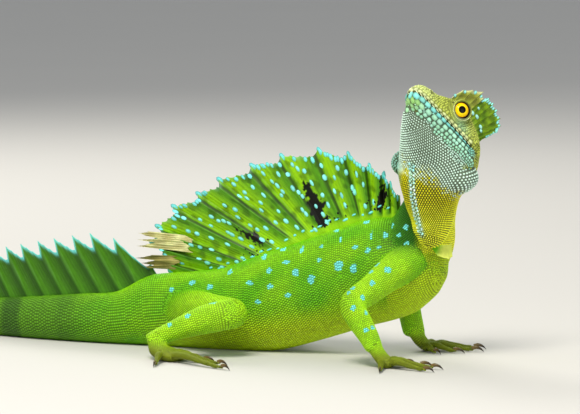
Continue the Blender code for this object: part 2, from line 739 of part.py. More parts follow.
def build_tail_crests(spine):
    """The crest on the tail, in a front and a rear length like the tail under it."""
    x, z, width, up, down = TRUNK[-2]
    rows = np.array([(x, 0.0, z, width, up, down)] + tail_path())
    steps = np.array([TRUNK[-1][0] - x, *np.linspace(0, TAIL_LENGTH, TAIL_STATIONS + 1)])
    lean = math.radians(TAIL_CREST_LEAN)
    for name, start, end in (
        ("tail_crest_front", TAIL_CREST_START, TAIL_CREST_SPLIT),
        ("tail_crest_rear", TAIL_CREST_SPLIT + 1.2, TAIL_CREST_END),
    ):
        count = int(round((end - start) / TAIL_CREST_PITCH)) + 1
        feet, tips = [], []
        for along in np.linspace(start, end, count):
            x, y, z, _, depth, _ = [np.interp(along, steps, rows[:, k]) for k in range(6)]
            ahead = np.array([np.interp(along + 1, steps, rows[:, k]) for k in range(2)]) - np.array([x, y])
            back_way = np.array([*unit(ahead), 0.0])
            foot = np.array([x, y, z + depth - SAIL_ROOT])
            way = -back_way * math.cos(lean) + np.array([0, 0, math.sin(lean)])
            feet.append(foot)
            tips.append(foot + way * (tail_crest_height(along) + SAIL_ROOT))
        columns = pleated_columns(feet, tips, SAIL_PLEAT * 0.6, 0.78)
        crest = fin(name, *columns[:2], (0, 1, 0), *columns[2:], rows=4)
        cut_clear(crest, [spine])
        finish(crest, FIN_GREEN, smooth=False)


def build_head_crests(grown_parts):
    """The low crest on the brow and the tall rounded one behind it."""
    left = head_axes()[:, 1]
    for name, foot_line, margin, count in (
        ("brow_crest", BROW_CREST_FOOT, BROW_CREST_MARGIN, 5),
        ("head_crest", MAIN_CREST_FOOT, MAIN_CREST_MARGIN, 9),
    ):
        places = np.linspace(0, len(margin) - 1, count)
        edge = smooth_rows(margin, places)
        feet, tips = [], []
        for k, (forward, up) in enumerate(edge):
            share = k / (count - 1)
            base = np.array(foot_line[0]) * (1 - share) + np.array(foot_line[1]) * share
            feet.append(head_points([(base[0], 0.0, base[1] - 2.5)])[0])
            tips.append(head_points([(forward, 0.0, up)])[0])
        columns = pleated_columns(feet, tips, 0.35, 0.95)
        crest = fin(name, *columns[:2], left, *columns[2:], rows=5)
        cut_clear(crest, [grown_parts["head"], grown_parts["neck"]])
        finish(crest, FIN_GREEN, smooth=False)


def main():
    clear_scene()
    spine = build_spine()
    grown_parts = {}
    build_head(grown_parts)
    build_neck(grown_parts, spine)
    build_head_crests(grown_parts)
    build_sail(spine, grown_parts["neck"])
    build_tail_crests(spine)
    for label, side, fore, heading in (("right", -1, FORELEG_RIGHT, -4.0), ("left", 1, FORELEG_LEFT, 12.0)):
        ring, shank = build_limb(fore, ELBOW, ["upper_arm_" + label, "forearm_" + label], [spine, grown_parts["neck"]])
        build_foot("hand_" + label, ring, shank, fore[-1], heading, HAND_DIGITS, PALM_LENGTH, PALM_HALF_WIDTH,
                   PALM_HALF_HEIGHT, -side)
        hind = [(x, -side * y, z, w, h) for x, y, z, w, h in HINDLEG_RIGHT]
        ring, shank = build_limb(hind, KNEE, ["thigh_" + label, "shank_" + label], [spine])
        build_foot("foot_" + label, ring, shank, hind[-1], side * 24.0, FOOT_DIGITS, SOLE_LENGTH, SOLE_HALF_WIDTH,
                   SOLE_HALF_HEIGHT, -side)
    remove([spine, grown_parts["head"], grown_parts["neck"]] + grown_parts["eyes"])


main()
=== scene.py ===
# %% [markdown]
# The model is an adult male green basilisk at life size: chest raised on its forelegs, head turned back.
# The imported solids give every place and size.
# This script dresses them with one seamless skin, rows of separate scales, pleated crests, claws and eyes.

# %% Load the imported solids
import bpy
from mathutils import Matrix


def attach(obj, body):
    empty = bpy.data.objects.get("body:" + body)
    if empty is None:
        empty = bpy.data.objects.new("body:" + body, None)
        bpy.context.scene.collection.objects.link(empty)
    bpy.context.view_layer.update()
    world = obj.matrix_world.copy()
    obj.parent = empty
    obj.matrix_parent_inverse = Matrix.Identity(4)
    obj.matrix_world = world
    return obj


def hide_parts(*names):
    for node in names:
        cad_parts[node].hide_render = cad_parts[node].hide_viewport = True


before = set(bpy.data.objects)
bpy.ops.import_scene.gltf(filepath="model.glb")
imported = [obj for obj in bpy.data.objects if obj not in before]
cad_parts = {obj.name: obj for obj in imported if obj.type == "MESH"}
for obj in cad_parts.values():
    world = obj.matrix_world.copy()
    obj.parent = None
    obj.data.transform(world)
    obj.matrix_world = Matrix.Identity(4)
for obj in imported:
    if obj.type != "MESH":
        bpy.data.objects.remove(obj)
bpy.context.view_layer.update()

import math

import bpy
import numpy as np
from mathutils import Matrix, Vector
from mathutils.bvhtree import BVHTree
from mathutils.kdtree import KDTree

MM = 0.001
rng = np.random.default_rng(11)
bpy.context.scene.view_settings.view_transform = "Standard"

# %% [markdown]
# A lizard's body is a set of soft tubes, so each length of it is a table of stations along a centreline.
# A station gives a place, a half width and a half depth, all in millimetres.
# These are the driving sizes that the solids were made from, so the dressed animal lies where they lie.

# %% Stations of the body
TRUNK = [
    (112.5, 50.0, 8.0, 9.0, 10.0),
    (106.0, 49.0, 14.0, 16.0, 17.5),
    (95.0, 47.0, 18.5, 24.0, 23.5),
    (82.0, 43.5, 20.5, 27.5, 25.5),
    (64.0, 38.5, 20.5, 27.0, 25.5),
    (42.0, 32.0, 20.5, 25.5, 26.0),
    (18.0, 25.5, 20.5, 24.0, 26.0),
    (-4.0, 21.5, 19.5, 20.5, 22.6),
    (-24.0, 20.0, 17.0, 19.5, 20.8),
    (-42.0, 18.0, 14.0, 19.5, 18.6),
]
CHEST_FRONT = (115.3, 0.0, 50.5)
TAIL_LENGTH = 480.0
TAIL_BASE_WIDTH = 12.4
TAIL_BASE_DEPTH = 15.2
TAIL_TIP_RADIUS = 0.9
TAIL_BEND = 24.0
TAIL_STATIONS = 22
NECK = [
    (95.0, 0.0, 50.0, 16.0, 19.0, (-0.9, 0.0, 0.45)),
    (101.0, 0.0, 62.0, 15.5, 18.0, (-0.92, 0.1, 0.4)),
    (105.5, -1.2, 75.0, 12.6, 14.6, (-0.85, 0.3, 0.4)),
    (110.5, -2.2, 87.0, 12.0, 13.3, (-0.55, 0.6, 0.4)),
    (117.5, -2.0, 97.0, 12.5, 12.5, (-0.1, 0.8, 0.5)),
    (121.0, -3.0, 104.5, 11.0, 11.0, (0.25, 0.7, 0.65)),
    (119.5, -8.0, 111.0, 8.0, 8.0, (0.27, 0.69, 0.68)),
]
THROAT = [
    (106.2, -33.0, 129.5, 4.9, 2.6),
    (108.0, -31.3, 123.5, 8.0, 4.4),
    (110.3, -27.8, 115.0, 11.9, 7.0),
    (111.8, -23.6, 107.2, 15.2, 9.6),
    (112.6, -19.8, 100.5, 17.4, 12.0),
    (112.0, -18.0, 90.7, 16.0, 12.5),
    (111.5, -16.5, 81.5, 13.5, 11.0),
    (111.5, -15.2, 72.4, 11.0, 8.4),
    (110.8, -16.6, 63.4, 8.2, 6.0),
    (109.6, -18.2, 58.8, 4.0, 3.0),
]
THROAT_FACE = (0.342, -0.94, 0.0)
JOWLS = [
    ((123.5, -15.5, 92.5), (11.0, 9.0, 8.2), 20.0),
    ((128.3, -13.0, 93.2), (6.8, 6.6, 6.6), 20.0),
    ((97.8, -14.5, 99.8), (8.0, 7.6, 7.2), 20.0),
]
FORELEG_RIGHT = [
    (100.0, -9.0, 51.0, 10.0, 10.0),
    (92.0, -21.0, 44.5, 8.0, 8.6),
    (84.5, -33.0, 36.5, 6.7, 7.2),
    (78.3, -42.0, 30.5, 6.2, 6.6),
    (83.0, -45.0, 23.0, 6.2, 6.2),
    (88.5, -46.8, 15.5, 5.6, 5.2),
    (92.0, -47.4, 9.2, 6.0, 4.2),
]
FORELEG_LEFT = [
    (99.0, 8.0, 50.0, 10.0, 10.0),
    (91.5, 19.5, 44.5, 8.0, 8.6),
    (84.5, 30.0, 38.0, 6.7, 7.2),
    (79.5, 37.0, 32.0, 6.2, 6.6),
    (82.5, 33.0, 24.0, 6.4, 6.4),
    (86.5, 27.5, 15.5, 6.0, 5.6),
    (89.5, 23.5, 8.8, 6.2, 4.4),
]
HINDLEG_RIGHT = [
    (-27.0, -5.0, 20.0, 12.0, 12.0),
    (-14.0, -17.0, 20.5, 10.5, 11.0),
    (1.0, -28.5, 21.5, 8.8, 9.2),
    (13.0, -37.0, 22.5, 7.2, 7.6),
    (1.0, -43.0, 20.0, 7.0, 7.6),
    (-14.0, -48.5, 14.5, 5.2, 5.4),
    (-27.5, -52.5, 8.2, 4.2, 4.2),
]
HINDLEG_LEFT = [(x, -y, z, w, h) for x, y, z, w, h in HINDLEG_RIGHT]
print("stations", len(TRUNK) + len(NECK) + len(THROAT) + 4 * len(HINDLEG_RIGHT))

# %% [markdown]
# The head is drawn in its own directions, forward, left and up, measured from the front of the mouth.
# One small matrix then turns it, tips it up and rolls it into the pose.

# %% Sizes of the head
HEAD_TURN = -120.0
HEAD_PITCH = 47.0
HEAD_ROLL = 6.6
HEAD_ORIGIN = np.array((107.0, -35.8, 137.0))
HEAD = [
    (0.0, 2.8, 4.2, 2.2),
    (1.4, 4.4, 6.4, 3.6),
    (4.0, 5.8, 8.2, 4.8),
    (8.0, 7.0, 9.4, 5.6),
    (13.0, 8.4, 11.2, 6.4),
    (18.0, 9.8, 14.4, 7.4),
    (23.0, 11.0, 17.4, 8.6),
    (28.0, 12.2, 18.4, 9.8),
    (33.0, 13.2, 18.0, 11.0),
    (38.0, 13.8, 16.6, 12.0),
    (44.0, 13.4, 14.6, 12.6),
    (49.5, 11.2, 11.6, 11.4),
    (53.6, 8.2, 8.2, 9.0),
]
EYE = (-25.6, 8.0, 11.2)
EYE_RADIUS = 5.3
EYE_LOOK = (0.3, 0.94, -0.1)
IRIS_LOOK = (0.4, 0.81, -0.19)
LID_RING = 4.7
LID_TUBE = 1.1
LID_LIFT = 3.0
MOUTH_CORNER = 40.0
NOSTRIL = (-7.4, 4.9, 6.6)
EAR = (-45.0, 14.2, 4.5)


def unit(vector):
    vector = np.asarray(vector, float)
    return vector / np.linalg.norm(vector, axis=-1, keepdims=True)


turn = Matrix.Rotation(math.radians(HEAD_TURN), 3, "Z")
tip_up = Matrix.Rotation(-math.radians(HEAD_PITCH), 3, "Y")
roll = Matrix.Rotation(math.radians(HEAD_ROLL), 3, "X")
HEAD_AXES = np.array(turn @ tip_up @ roll)


def head_points(points):
    """World places, in mm, of points given forward, left and up of the front of the mouth."""
    return HEAD_ORIGIN + np.asarray(points, float) @ HEAD_AXES.T


def in_head(points):
    """The way back: forward, left and up of world places in mm."""
    return (np.asarray(points, float) - HEAD_ORIGIN) @ HEAD_AXES


print("head faces", np.round(HEAD_AXES[:, 0], 2))

# %% [markdown]
# A loft joins rings of points into a closed tube.
# The stations are few, so a smooth curve is run through them first, and the rings are read off that curve.

# %% Curves and lofts


def smooth_rows(rows, count):
    """A table of stations, read at evenly spaced places on a smooth curve through them."""
    rows = np.asarray(rows, float)
    keys = np.arange(len(rows))
    slopes = np.gradient(rows, keys, axis=0)
    places = np.linspace(0, len(rows) - 1, count)
    k = np.minimum(places.astype(int), len(rows) - 2)
    t = (places - k)[:, None]
    return (
        rows[k] * (2 * t**3 - 3 * t**2 + 1) + slopes[k] * (t**3 - 2 * t**2 + t)
        + rows[k + 1] * (3 * t**2 - 2 * t**3) + slopes[k + 1] * (t**3 - t**2)
    )


def mesh_from_arrays(name, points, faces):
    """Object from an array of points in mm and an array of faces that all have the same count of corners."""
    faces = np.asarray(faces, np.int32)
    mesh = bpy.data.meshes.new(name)
    mesh.vertices.add(len(points))
    mesh.vertices.foreach_set("co", (np.asarray(points) * MM).astype(np.float32).ravel())
    mesh.loops.add(faces.size)
    mesh.loops.foreach_set("vertex_index", faces.ravel())
    mesh.polygons.add(len(faces))
    mesh.polygons.foreach_set("loop_start", np.arange(0, faces.size, faces.shape[1], dtype=np.int32))
    mesh.update(calc_edges=True)
    mesh.validate()
    thing = bpy.data.objects.new(name, mesh)
    bpy.context.scene.collection.objects.link(thing)
    return thing


class Tube:
    """A length of the body: its centreline, half sizes and directions at each fine station."""

    def __init__(self, name, centres, widths, ups, downs, backs, roof=0.0):
        self.name = name
        self.centres = np.asarray(centres, float)
        self.widths = np.asarray(widths, float)
        self.ups = np.asarray(ups, float)
        self.downs = np.asarray(downs, float)
        self.roof = roof
        steps = np.diff(self.centres, axis=0)
        self.along = np.concatenate([[0], np.cumsum(np.linalg.norm(steps, axis=1))])
        ways = unit(steps)
        self.ways = unit(np.vstack([ways[:1], ways[:-1] + ways[1:], ways[-1:]]))
        self.sides = unit(np.cross(self.ways, np.broadcast_to(backs, self.centres.shape)))
        self.backs = np.cross(self.sides, self.ways)

    def at(self, along):
        """Centre, half sizes and directions at distances along the tube."""
        def read(values):
            values = values.reshape(len(self.along), -1)
            return np.stack([np.interp(along, self.along, column) for column in values.T], axis=-1)
        sizes = [read(v)[..., 0] for v in (self.widths, self.ups, self.downs)]
        ways, sides, backs = (unit(read(v)) for v in (self.ways, self.sides, self.backs))
        return read(self.centres), sizes, ways, sides, backs

    def offsets(self, along, angles):
        """Steps from the centreline to the tube's surface; angle 0 is its side, 90 degrees its back."""
        _, (widths, ups, downs), _, sides, backs = self.at(along)
        across = widths * np.cos(angles) * (1 - self.roof * np.maximum(np.sin(angles), 0))
        high = np.where(np.sin(angles) > 0, ups, downs) * np.sin(angles)
        return across[..., None] * sides + high[..., None] * backs

    def rings(self, sides):
        angles = np.linspace(0, 2 * math.pi, sides, endpoint=False)
        out = []
        for centre, along in zip(self.centres, self.along):
            out.append(centre + self.offsets(np.full(sides, along), angles))
        return np.array(out)


def loft_arrays(rings, front=None, back=None):
    """Points and triangles of a closed tube through rings of equal counts."""
    rings = np.asarray(rings, float)
    count, sides = rings.shape[:2]
    tips = [rings[0].mean(0) if front is None else front, rings[-1].mean(0) if back is None else back]
    points = np.vstack([rings.reshape(-1, 3), tips])
    k, i = np.meshgrid(np.arange(count - 1), np.arange(sides), indexing="ij")
    a, b = k * sides + i, k * sides + (i + 1) % sides
    c, d = b + sides, a + sides
    walls = np.concatenate([np.stack([a, b, c], -1).reshape(-1, 3), np.stack([a, c, d], -1).reshape(-1, 3)])
    i = np.arange(sides)
    j = (i + 1) % sides
    last = (count - 1) * sides
    first_cap = np.stack([j, i, np.full(sides, count * sides)], -1)
    last_cap = np.stack([last + i, last + j, np.full(sides, count * sides + 1)], -1)
    faces = np.concatenate([walls, first_cap, last_cap])
    a, b, c = (points[faces[:, k]] - points.mean(0) for k in range(3))
    volume = (a * np.cross(b, c)).sum()
    return points, faces if volume > 0 else faces[:, ::-1]


UP = (0.0, 0.0, 1.0)


def tail_path():
    steps = np.linspace(0, TAIL_LENGTH, TAIL_STATIONS + 1)
    x, y = TRUNK[-1][0], 0.0
    rows = []
    for k, along in enumerate(steps):
        share = along / TAIL_LENGTH
        if k:
            step = along - steps[k - 1]
            swing = math.radians(TAIL_BEND) * math.sin(2 * math.pi * (share - 0.5 / TAIL_STATIONS) ** 1.3)
            x -= step * math.cos(swing)
            y += step * math.sin(swing)
        width = TAIL_TIP_RADIUS + (TAIL_BASE_WIDTH - TAIL_TIP_RADIUS) * (1 - share) ** 1.7
        depth = TAIL_TIP_RADIUS + (TAIL_BASE_DEPTH - TAIL_TIP_RADIUS) * (1 - share) ** 1.9
        rows.append((x, y, depth - 0.25, width, depth, depth))
    return rows


trunk_rows = [(x, 0.0, z, w, up, down) for x, z, w, up, down in TRUNK]
trunk_fine = smooth_rows(trunk_rows, 61)
tail_fine = smooth_rows([trunk_rows[-2], trunk_rows[-1]] + tail_path()[1:], 170)
tail_fine = tail_fine[tail_fine[:, 0] < TRUNK[-1][0] - 0.5]
spine_fine = np.vstack([trunk_fine, tail_fine])
TUBES = {}
TUBES["spine"] = Tube("spine", spine_fine[:, :3], *spine_fine[:, 3:].T, UP, roof=0.2)
rows = smooth_rows([(*row[:5], *row[5]) for row in NECK], 31)
TUBES["neck"] = Tube("neck", rows[:, :3], rows[:, 3], rows[:, 4], rows[:, 4], rows[:, 5:])
rows = smooth_rows(THROAT, 55)
TUBES["throat"] = Tube("throat", rows[:, :3], rows[:, 3], rows[:, 4], rows[:, 4], THROAT_FACE)
for name, table in (
    ("foreleg_right", FORELEG_RIGHT), ("foreleg_left", FORELEG_LEFT),
    ("hindleg_right", HINDLEG_RIGHT), ("hindleg_left", HINDLEG_LEFT),
):
    rows = smooth_rows(table, 49)
    TUBES[name] = Tube(name, rows[:, :3], rows[:, 3], rows[:, 4], rows[:, 4], UP)
print("tubes", {name: round(float(tube.along[-1])) for name, tube in TUBES.items()})

# %% [markdown]
# Hands and feet are a flat palm with five digits that arch up from it and rest on their tips.
# The outer digits are the longest on the hind foot, as on all basilisks.
# Each digit ends in a hooked claw, whose run is noted here and made into a mesh near the end.

# %% Palms, digits and claws
# Digits: spread in degrees, length, and place across the palm from the inner edge to the outer.
HAND_DIGITS = [
    (50.0, 15.0, 0.0), (22.0, 22.0, 0.28), (4.0, 29.0, 0.5), (-14.0, 30.0, 0.74), (-70.0, 20.0, 1.0),
]
FOOT_DIGITS = [
    (34.0, 14.0, 0.0), (18.0, 23.0, 0.25), (6.0, 36.0, 0.5), (-6.0, 50.0, 0.75), (-52.0, 25.0, 1.0),
]
# Palm and sole: length, half width and half height.
PALM = (9.0, 6.6, 2.7)
SOLE = (22.0, 7.2, 3.2)
DIGIT_RADIUS = 2.0
DIGIT_TIP_RADIUS = 1.35
DIGIT_ARCH = 2.6
CLAW_LENGTH = 6.0
CLAW_RADIUS = 0.95
LIMBS = [
    ("foreleg_right", -4.0, HAND_DIGITS, PALM, 1),
    ("foreleg_left", 12.0, HAND_DIGITS, PALM, -1),
    ("hindleg_right", -24.0, FOOT_DIGITS, SOLE, 1),
    ("hindleg_left", 24.0, FOOT_DIGITS, SOLE, -1),
]
TABLES = {
    "foreleg_right": FORELEG_RIGHT, "foreleg_left": FORELEG_LEFT,
    "hindleg_right": HINDLEG_RIGHT, "hindleg_left": HINDLEG_LEFT,
}
CLAWS = []


def digit_tube(name, start, heading, length, lift):
    """The flesh of one digit as a tube; the run of its claw is noted on the way."""
    way = np.array([math.cos(heading), math.sin(heading), 0.0])
    flesh = length - CLAW_LENGTH * 0.8
    shape = [(0.0, lift, 1.0), (0.3, lift + 0.4 * DIGIT_ARCH, 1.0), (0.62, lift * 0.75 + 0.3, 0.88),
             (0.88, 1.3, 0.8), (1.0, 1.45, 0.62)]
    rows = []
    for share, height, swell in shape:
        centre = start + way * flesh * share
        radius = (DIGIT_TIP_RADIUS + (DIGIT_RADIUS - DIGIT_TIP_RADIUS) * (1 - share)) * swell
        rows.append((centre[0], centre[1], height, radius))
    rows = smooth_rows(rows, 33)
    share = np.linspace(0, 1, 33)
    knuckles = 1 + 0.07 * np.cos(2 * math.pi * share * max(2, round(flesh / 6.5)))
    radii = rows[:, 3] * knuckles
    claw = [(-1.2, 1.9, 1.0), (0.2, 2.35, 0.98), (1.6, 2.35, 0.85), (3.0, 1.9, 0.62), (4.2, 1.1, 0.36)]
    run = [(*(start + way * (flesh + ahead))[:2], high, CLAW_RADIUS * size) for ahead, high, size in claw]
    run.append((*(start + way * (flesh + 0.85 * CLAW_LENGTH))[:2], 0.1, 0.05))
    CLAWS.append(run)
    return Tube(name, rows[:, :3], radii, radii, radii, UP)


for name, heading, digits, (length, half_width, half_height), mirror in LIMBS:
    heading = math.radians(heading)
    way = np.array([math.cos(heading), math.sin(heading), 0.0])
    side = np.array([-way[1], way[0], 0.0]) * mirror
    wrist = np.array(TABLES[name][-1][:3])
    back_row = np.array(TABLES[name][-2][:3]) * 0.35 + wrist * 0.65
    palm_rows = [
        (*back_row, half_width * 0.62, half_height * 1.3),
        (*(wrist + way * length * 0.35)[:2], wrist[2] * 0.62, half_width * 0.75, half_height * 1.25),
        (*(wrist + way * length * 0.7)[:2], half_height, half_width, half_height * 1.1),
        (*(wrist + way * length)[:2], half_height * 0.85, half_width * 0.96, half_height * 0.85),
        (*(wrist + way * (length + 1.8))[:2], half_height * 0.7, half_width * 0.6, half_height * 0.5),
    ]
    rows = smooth_rows(palm_rows, 25)
    palm = Tube(name.replace("leg", "paw"), rows[:, :3], rows[:, 3], rows[:, 4], rows[:, 4], UP)
    TUBES[palm.name] = palm
    for number, (spread, size, share) in enumerate(digits):
        start = wrist + way * length * (0.78 - 0.35 * abs(share - 0.55) ** 1.5)
        start = start + side * half_width * (0.8 - 1.6 * share)
        digit = digit_tube(f"{name}_digit_{number}", start, heading + math.radians(spread) * mirror, size,
                           half_height * 0.95)
        TUBES[digit.name] = digit
print("digits", len(CLAWS))

# %% [markdown]
# All the flesh is one skin, so that no seam shows where leg, neck or tail join the trunk.
# Every tube goes into one mesh, and a voxel remesh melts them into a single surface.
# Smoothing then rounds the creases, more on the trunk than on the head and digits.
# Head and digits have finer forms, which strong smoothing would take away.

# %% One skin over all the flesh
COAT_DEPTH = 0.3
VOXEL = 0.6


def head_outline(angles, width, top, bottom):
    c, s = np.cos(angles), np.sin(angles)
    upper = s >= 0
    across = np.sign(c) * (np.where(upper, np.abs(c) ** 0.8, np.abs(c) ** 0.85) * (1 - 0.12 * s))
    high = np.where(upper, top * np.abs(s) ** 0.9, -bottom * np.abs(s) ** 0.9)
    return width * across, high


head_fine = smooth_rows(HEAD, 73)
angles = np.linspace(0, 2 * math.pi, 72, endpoint=False)
head_rings = []
for distance, width, top, bottom in head_fine:
    across, high = head_outline(angles, width, top, bottom)
    head_rings.append(head_points(np.stack([np.full(72, -distance), across, high], -1)))


def ellipsoid(centre, halves, spin, around=40, rows=20):
    """Closed ball with three half sizes, turned about +Z."""
    c, s = math.cos(math.radians(spin)), math.sin(math.radians(spin))
    matrix = np.array([[c, -s, 0], [s, c, 0], [0, 0, 1]])
    around_angles = np.linspace(0, 2 * math.pi, around, endpoint=False)
    rings = []
    for tilt in np.linspace(-math.pi / 2, math.pi / 2, rows + 2)[1:-1]:
        ring = np.stack([np.cos(around_angles) * math.cos(tilt), np.sin(around_angles) * math.cos(tilt),
                         np.full(around, math.sin(tilt))], -1)
        rings.append(centre + (ring * halves) @ matrix.T)
    low, high = (np.asarray(centre) - [0, 0, halves[2]], np.asarray(centre) + [0, 0, halves[2]])
    return loft_arrays(rings, low, high)


def eye_frame(side):
    """Centre and directions of one eye: where it looks, forward along the lids, and up across them."""
    flip = np.array([1, side, 1])
    centre = head_points(np.array(EYE) * flip)
    look = unit(HEAD_AXES @ (np.array(EYE_LOOK) * flip))
    lid_up = unit(np.cross(look, np.cross(HEAD_AXES[:, 2], look)))
    return centre, look, unit(np.cross(lid_up, look)), lid_up


def torus(centre, axis_a, axis_b, radius_a, radius_b, tube, sides=12, around=64):
    """Closed ring round the plane of two directions; its own two radii may differ."""
    axis = unit(np.cross(axis_a, axis_b))
    points, faces = [], []
    for k in range(around):
        angle = 2 * math.pi * k / around
        out = axis_a * math.cos(angle) + axis_b * math.sin(angle)
        ring_centre = centre + axis_a * radius_a * math.cos(angle) + axis_b * radius_b * math.sin(angle)
        for i in range(sides):
            bend = 2 * math.pi * i / sides
            points.append(ring_centre + (out * math.cos(bend) + axis * math.sin(bend)) * tube)
            a, b = k * sides + i, k * sides + (i + 1) % sides
            c, d = (b + sides) % (around * sides), (a + sides) % (around * sides)
            faces += [(a, b, c), (a, c, d)]
    return np.array(points), np.array(faces)


lofts = [loft_arrays(TUBES["spine"].rings(64), front=CHEST_FRONT)]
lofts.append(loft_arrays(TUBES["neck"].rings(48)))
sac_tip = np.array(THROAT[-1][:3]) - [0, 0, 2.2]
lofts.append(loft_arrays(TUBES["throat"].rings(56), back=sac_tip))
lofts.append(loft_arrays(head_rings))
lofts += [ellipsoid(*jowl) for jowl in JOWLS]
for name, tube in TUBES.items():
    if name not in ("spine", "neck", "throat"):
        lofts.append(loft_arrays(tube.rings(20 if "digit" in name else 32)))
for side in (1, -1):
    centre, look, ahead, lid_up = eye_frame(side)
    lofts.append(torus(centre + look * LID_LIFT, ahead, lid_up, LID_RING * 1.06, LID_RING * 0.97, LID_TUBE))

offsets = np.cumsum([0] + [len(points) for points, _ in lofts])
loft_points = np.vstack([p for p, _ in lofts])
loft_faces = np.vstack([f + start for (_, f), start in zip(lofts, offsets)])
skin = mesh_from_arrays("skin", loft_points, loft_faces)


def apply_modifier(thing, kind, **settings):
    change = thing.modifiers.new(kind.lower(), kind)
    for key, value in settings.items():
        setattr(change, key, value)
    bpy.context.view_layer.objects.active = thing
    bpy.ops.object.modifier_apply(modifier=change.name)


def vertex_array(mesh):
    flat = np.empty(len(mesh.vertices) * 3, np.float32)
    mesh.vertices.foreach_get("co", flat)
    return flat.reshape(-1, 3).astype(float) / MM


def set_vertices(mesh, points):
    mesh.vertices.foreach_set("co", (points * MM).astype(np.float32).ravel())
    mesh.update()


def normal_array(mesh):
    flat = np.empty(len(mesh.vertices) * 3, np.float32)
    mesh.vertices.foreach_get("normal", flat)
    return flat.reshape(-1, 3).astype(float)


apply_modifier(skin, "REMESH", mode="VOXEL", voxel_size=VOXEL * MM, use_smooth_shade=True)
print("skin quads", len(skin.data.polygons))

# %% [markdown]
# Each place on the skin belongs to the tube whose loft lies nearest.
# That tells how much to smooth it, which colours it takes and which rows of scales grow on it.

# %% Which tube each place belongs to
OWNERS = ["spine", "neck", "throat", "head"] + ["throat"] * len(JOWLS)
OWNERS += [name for name in TUBES if name not in ("spine", "neck", "throat")] + ["head", "head"]
face_owner = np.concatenate([np.full(len(f), k) for k, (_, f) in enumerate(lofts)])
loft_tree = BVHTree.FromPolygons(loft_points.tolist(), loft_faces.tolist())


def owners_of(points):
    """Index into OWNERS of the loft nearest to each point."""
    return np.array([face_owner[loft_tree.find_nearest(point)[2]] for point in points.tolist()])


skin_owner = owners_of(vertex_array(skin.data))
owner_names = np.array(OWNERS)[skin_owner]
is_digit = np.char.find(owner_names.astype(str), "digit") >= 0
is_head = owner_names == "head"
is_limb = (np.char.find(owner_names.astype(str), "leg") >= 0) & ~is_digit
is_paw = np.char.find(owner_names.astype(str), "paw") >= 0
body_place = vertex_array(skin.data)
thin_tail = (owner_names == "spine") & (body_place[:, 0] < -260)
CHIN_STEP = (105.0, -32.5, 128.0)
at_chin = np.linalg.norm(body_place - CHIN_STEP, axis=1) < 9.5
at_wrist = np.zeros(len(body_place), bool)
for table in TABLES.values():
    at_wrist |= np.linalg.norm(body_place - table[-1][:3], axis=1) < 7.5
for label, chosen, turns in (
    ("smooth_body", ~(is_digit | is_head | is_paw | thin_tail), 26),
    ("smooth_paw", is_paw | is_limb, 8),
    ("smooth_chin", at_chin, 60),
    ("smooth_wrist", at_wrist & ~is_digit, 18),
    ("smooth_fine", np.ones(len(is_head), bool), 3),
):
    group = skin.vertex_groups.new(name=label)
    group.add(np.flatnonzero(chosen).tolist(), 1.0, "REPLACE")
    apply_modifier(skin, "SMOOTH", factor=0.5, iterations=turns, vertex_group=label)
skin.vertex_groups.clear()
print("vertices of the head", int(is_head.sum()), "digits", int(is_digit.sum()))

# %% [markdown]
# Small forms of the face come next: the ridge from nose to brow, folds round the eye, nostril and ear.
# Each is a soft push along the surface's own direction, strongest at its line and fading off it.
# The keel down the throat is made the same way.

# %% Folds and ridges of the skin


def polyline_distance(points, line):
    """Distance from each point to a line through a few places."""
    line = np.asarray(line, float)
    best = np.full(len(points), 1e9)
    for a, b in zip(line[:-1], line[1:]):
        t = np.clip(((points - a) @ (b - a)) / ((b - a) @ (b - a)), 0, 1)
        best = np.minimum(best, np.linalg.norm(points - (a + t[:, None] * (b - a)), axis=1))
    return best


def eye_axis_distance(points):
    """Distance of each point from the line that its eye looks along, and a large one behind the eye."""
    nearest = np.full(len(points), 99.0)
    for side in (1, -1):
        centre, look, _, _ = eye_frame(side)
        across = points - centre
        from_axis = np.linalg.norm(across - (across @ look)[:, None] * look, axis=1)
        nearest = np.where(across @ look > -1.0, np.minimum(nearest, from_axis), nearest)
    return nearest


def bump_on(distance, width):
    return np.exp(-((distance / width) ** 2))


def ramp(values, low, high):
    t = np.clip((values - low) / (high - low), 0, 1)
    return t * t * (3 - 2 * t)


BROW_RIDGE = [
    (-6.0, 4.6, 9.0), (-12.0, 6.4, 11.4), (-18.0, 8.0, 15.0), (-24.0, 9.2, 17.4), (-30.0, 9.6, 18.0),
    (-36.0, 9.2, 17.4),
]
CHEEK_FOLD = [(-33.0, 13.4, 6.0), (-38.0, 14.2, 2.6), (-43.0, 13.8, -1.5), (-47.0, 12.0, -5.0)]
SNOUT_HOLLOW = (-14.0, 8.4, 7.0)
THROAT_KEEL = [
    (106.3, -32.4, 100.6), (106.1, -30.8, 92.0), (105.7, -28.4, 84.4), (106.3, -24.2, 74.3),
    (108.3, -23.0, 64.1),
]

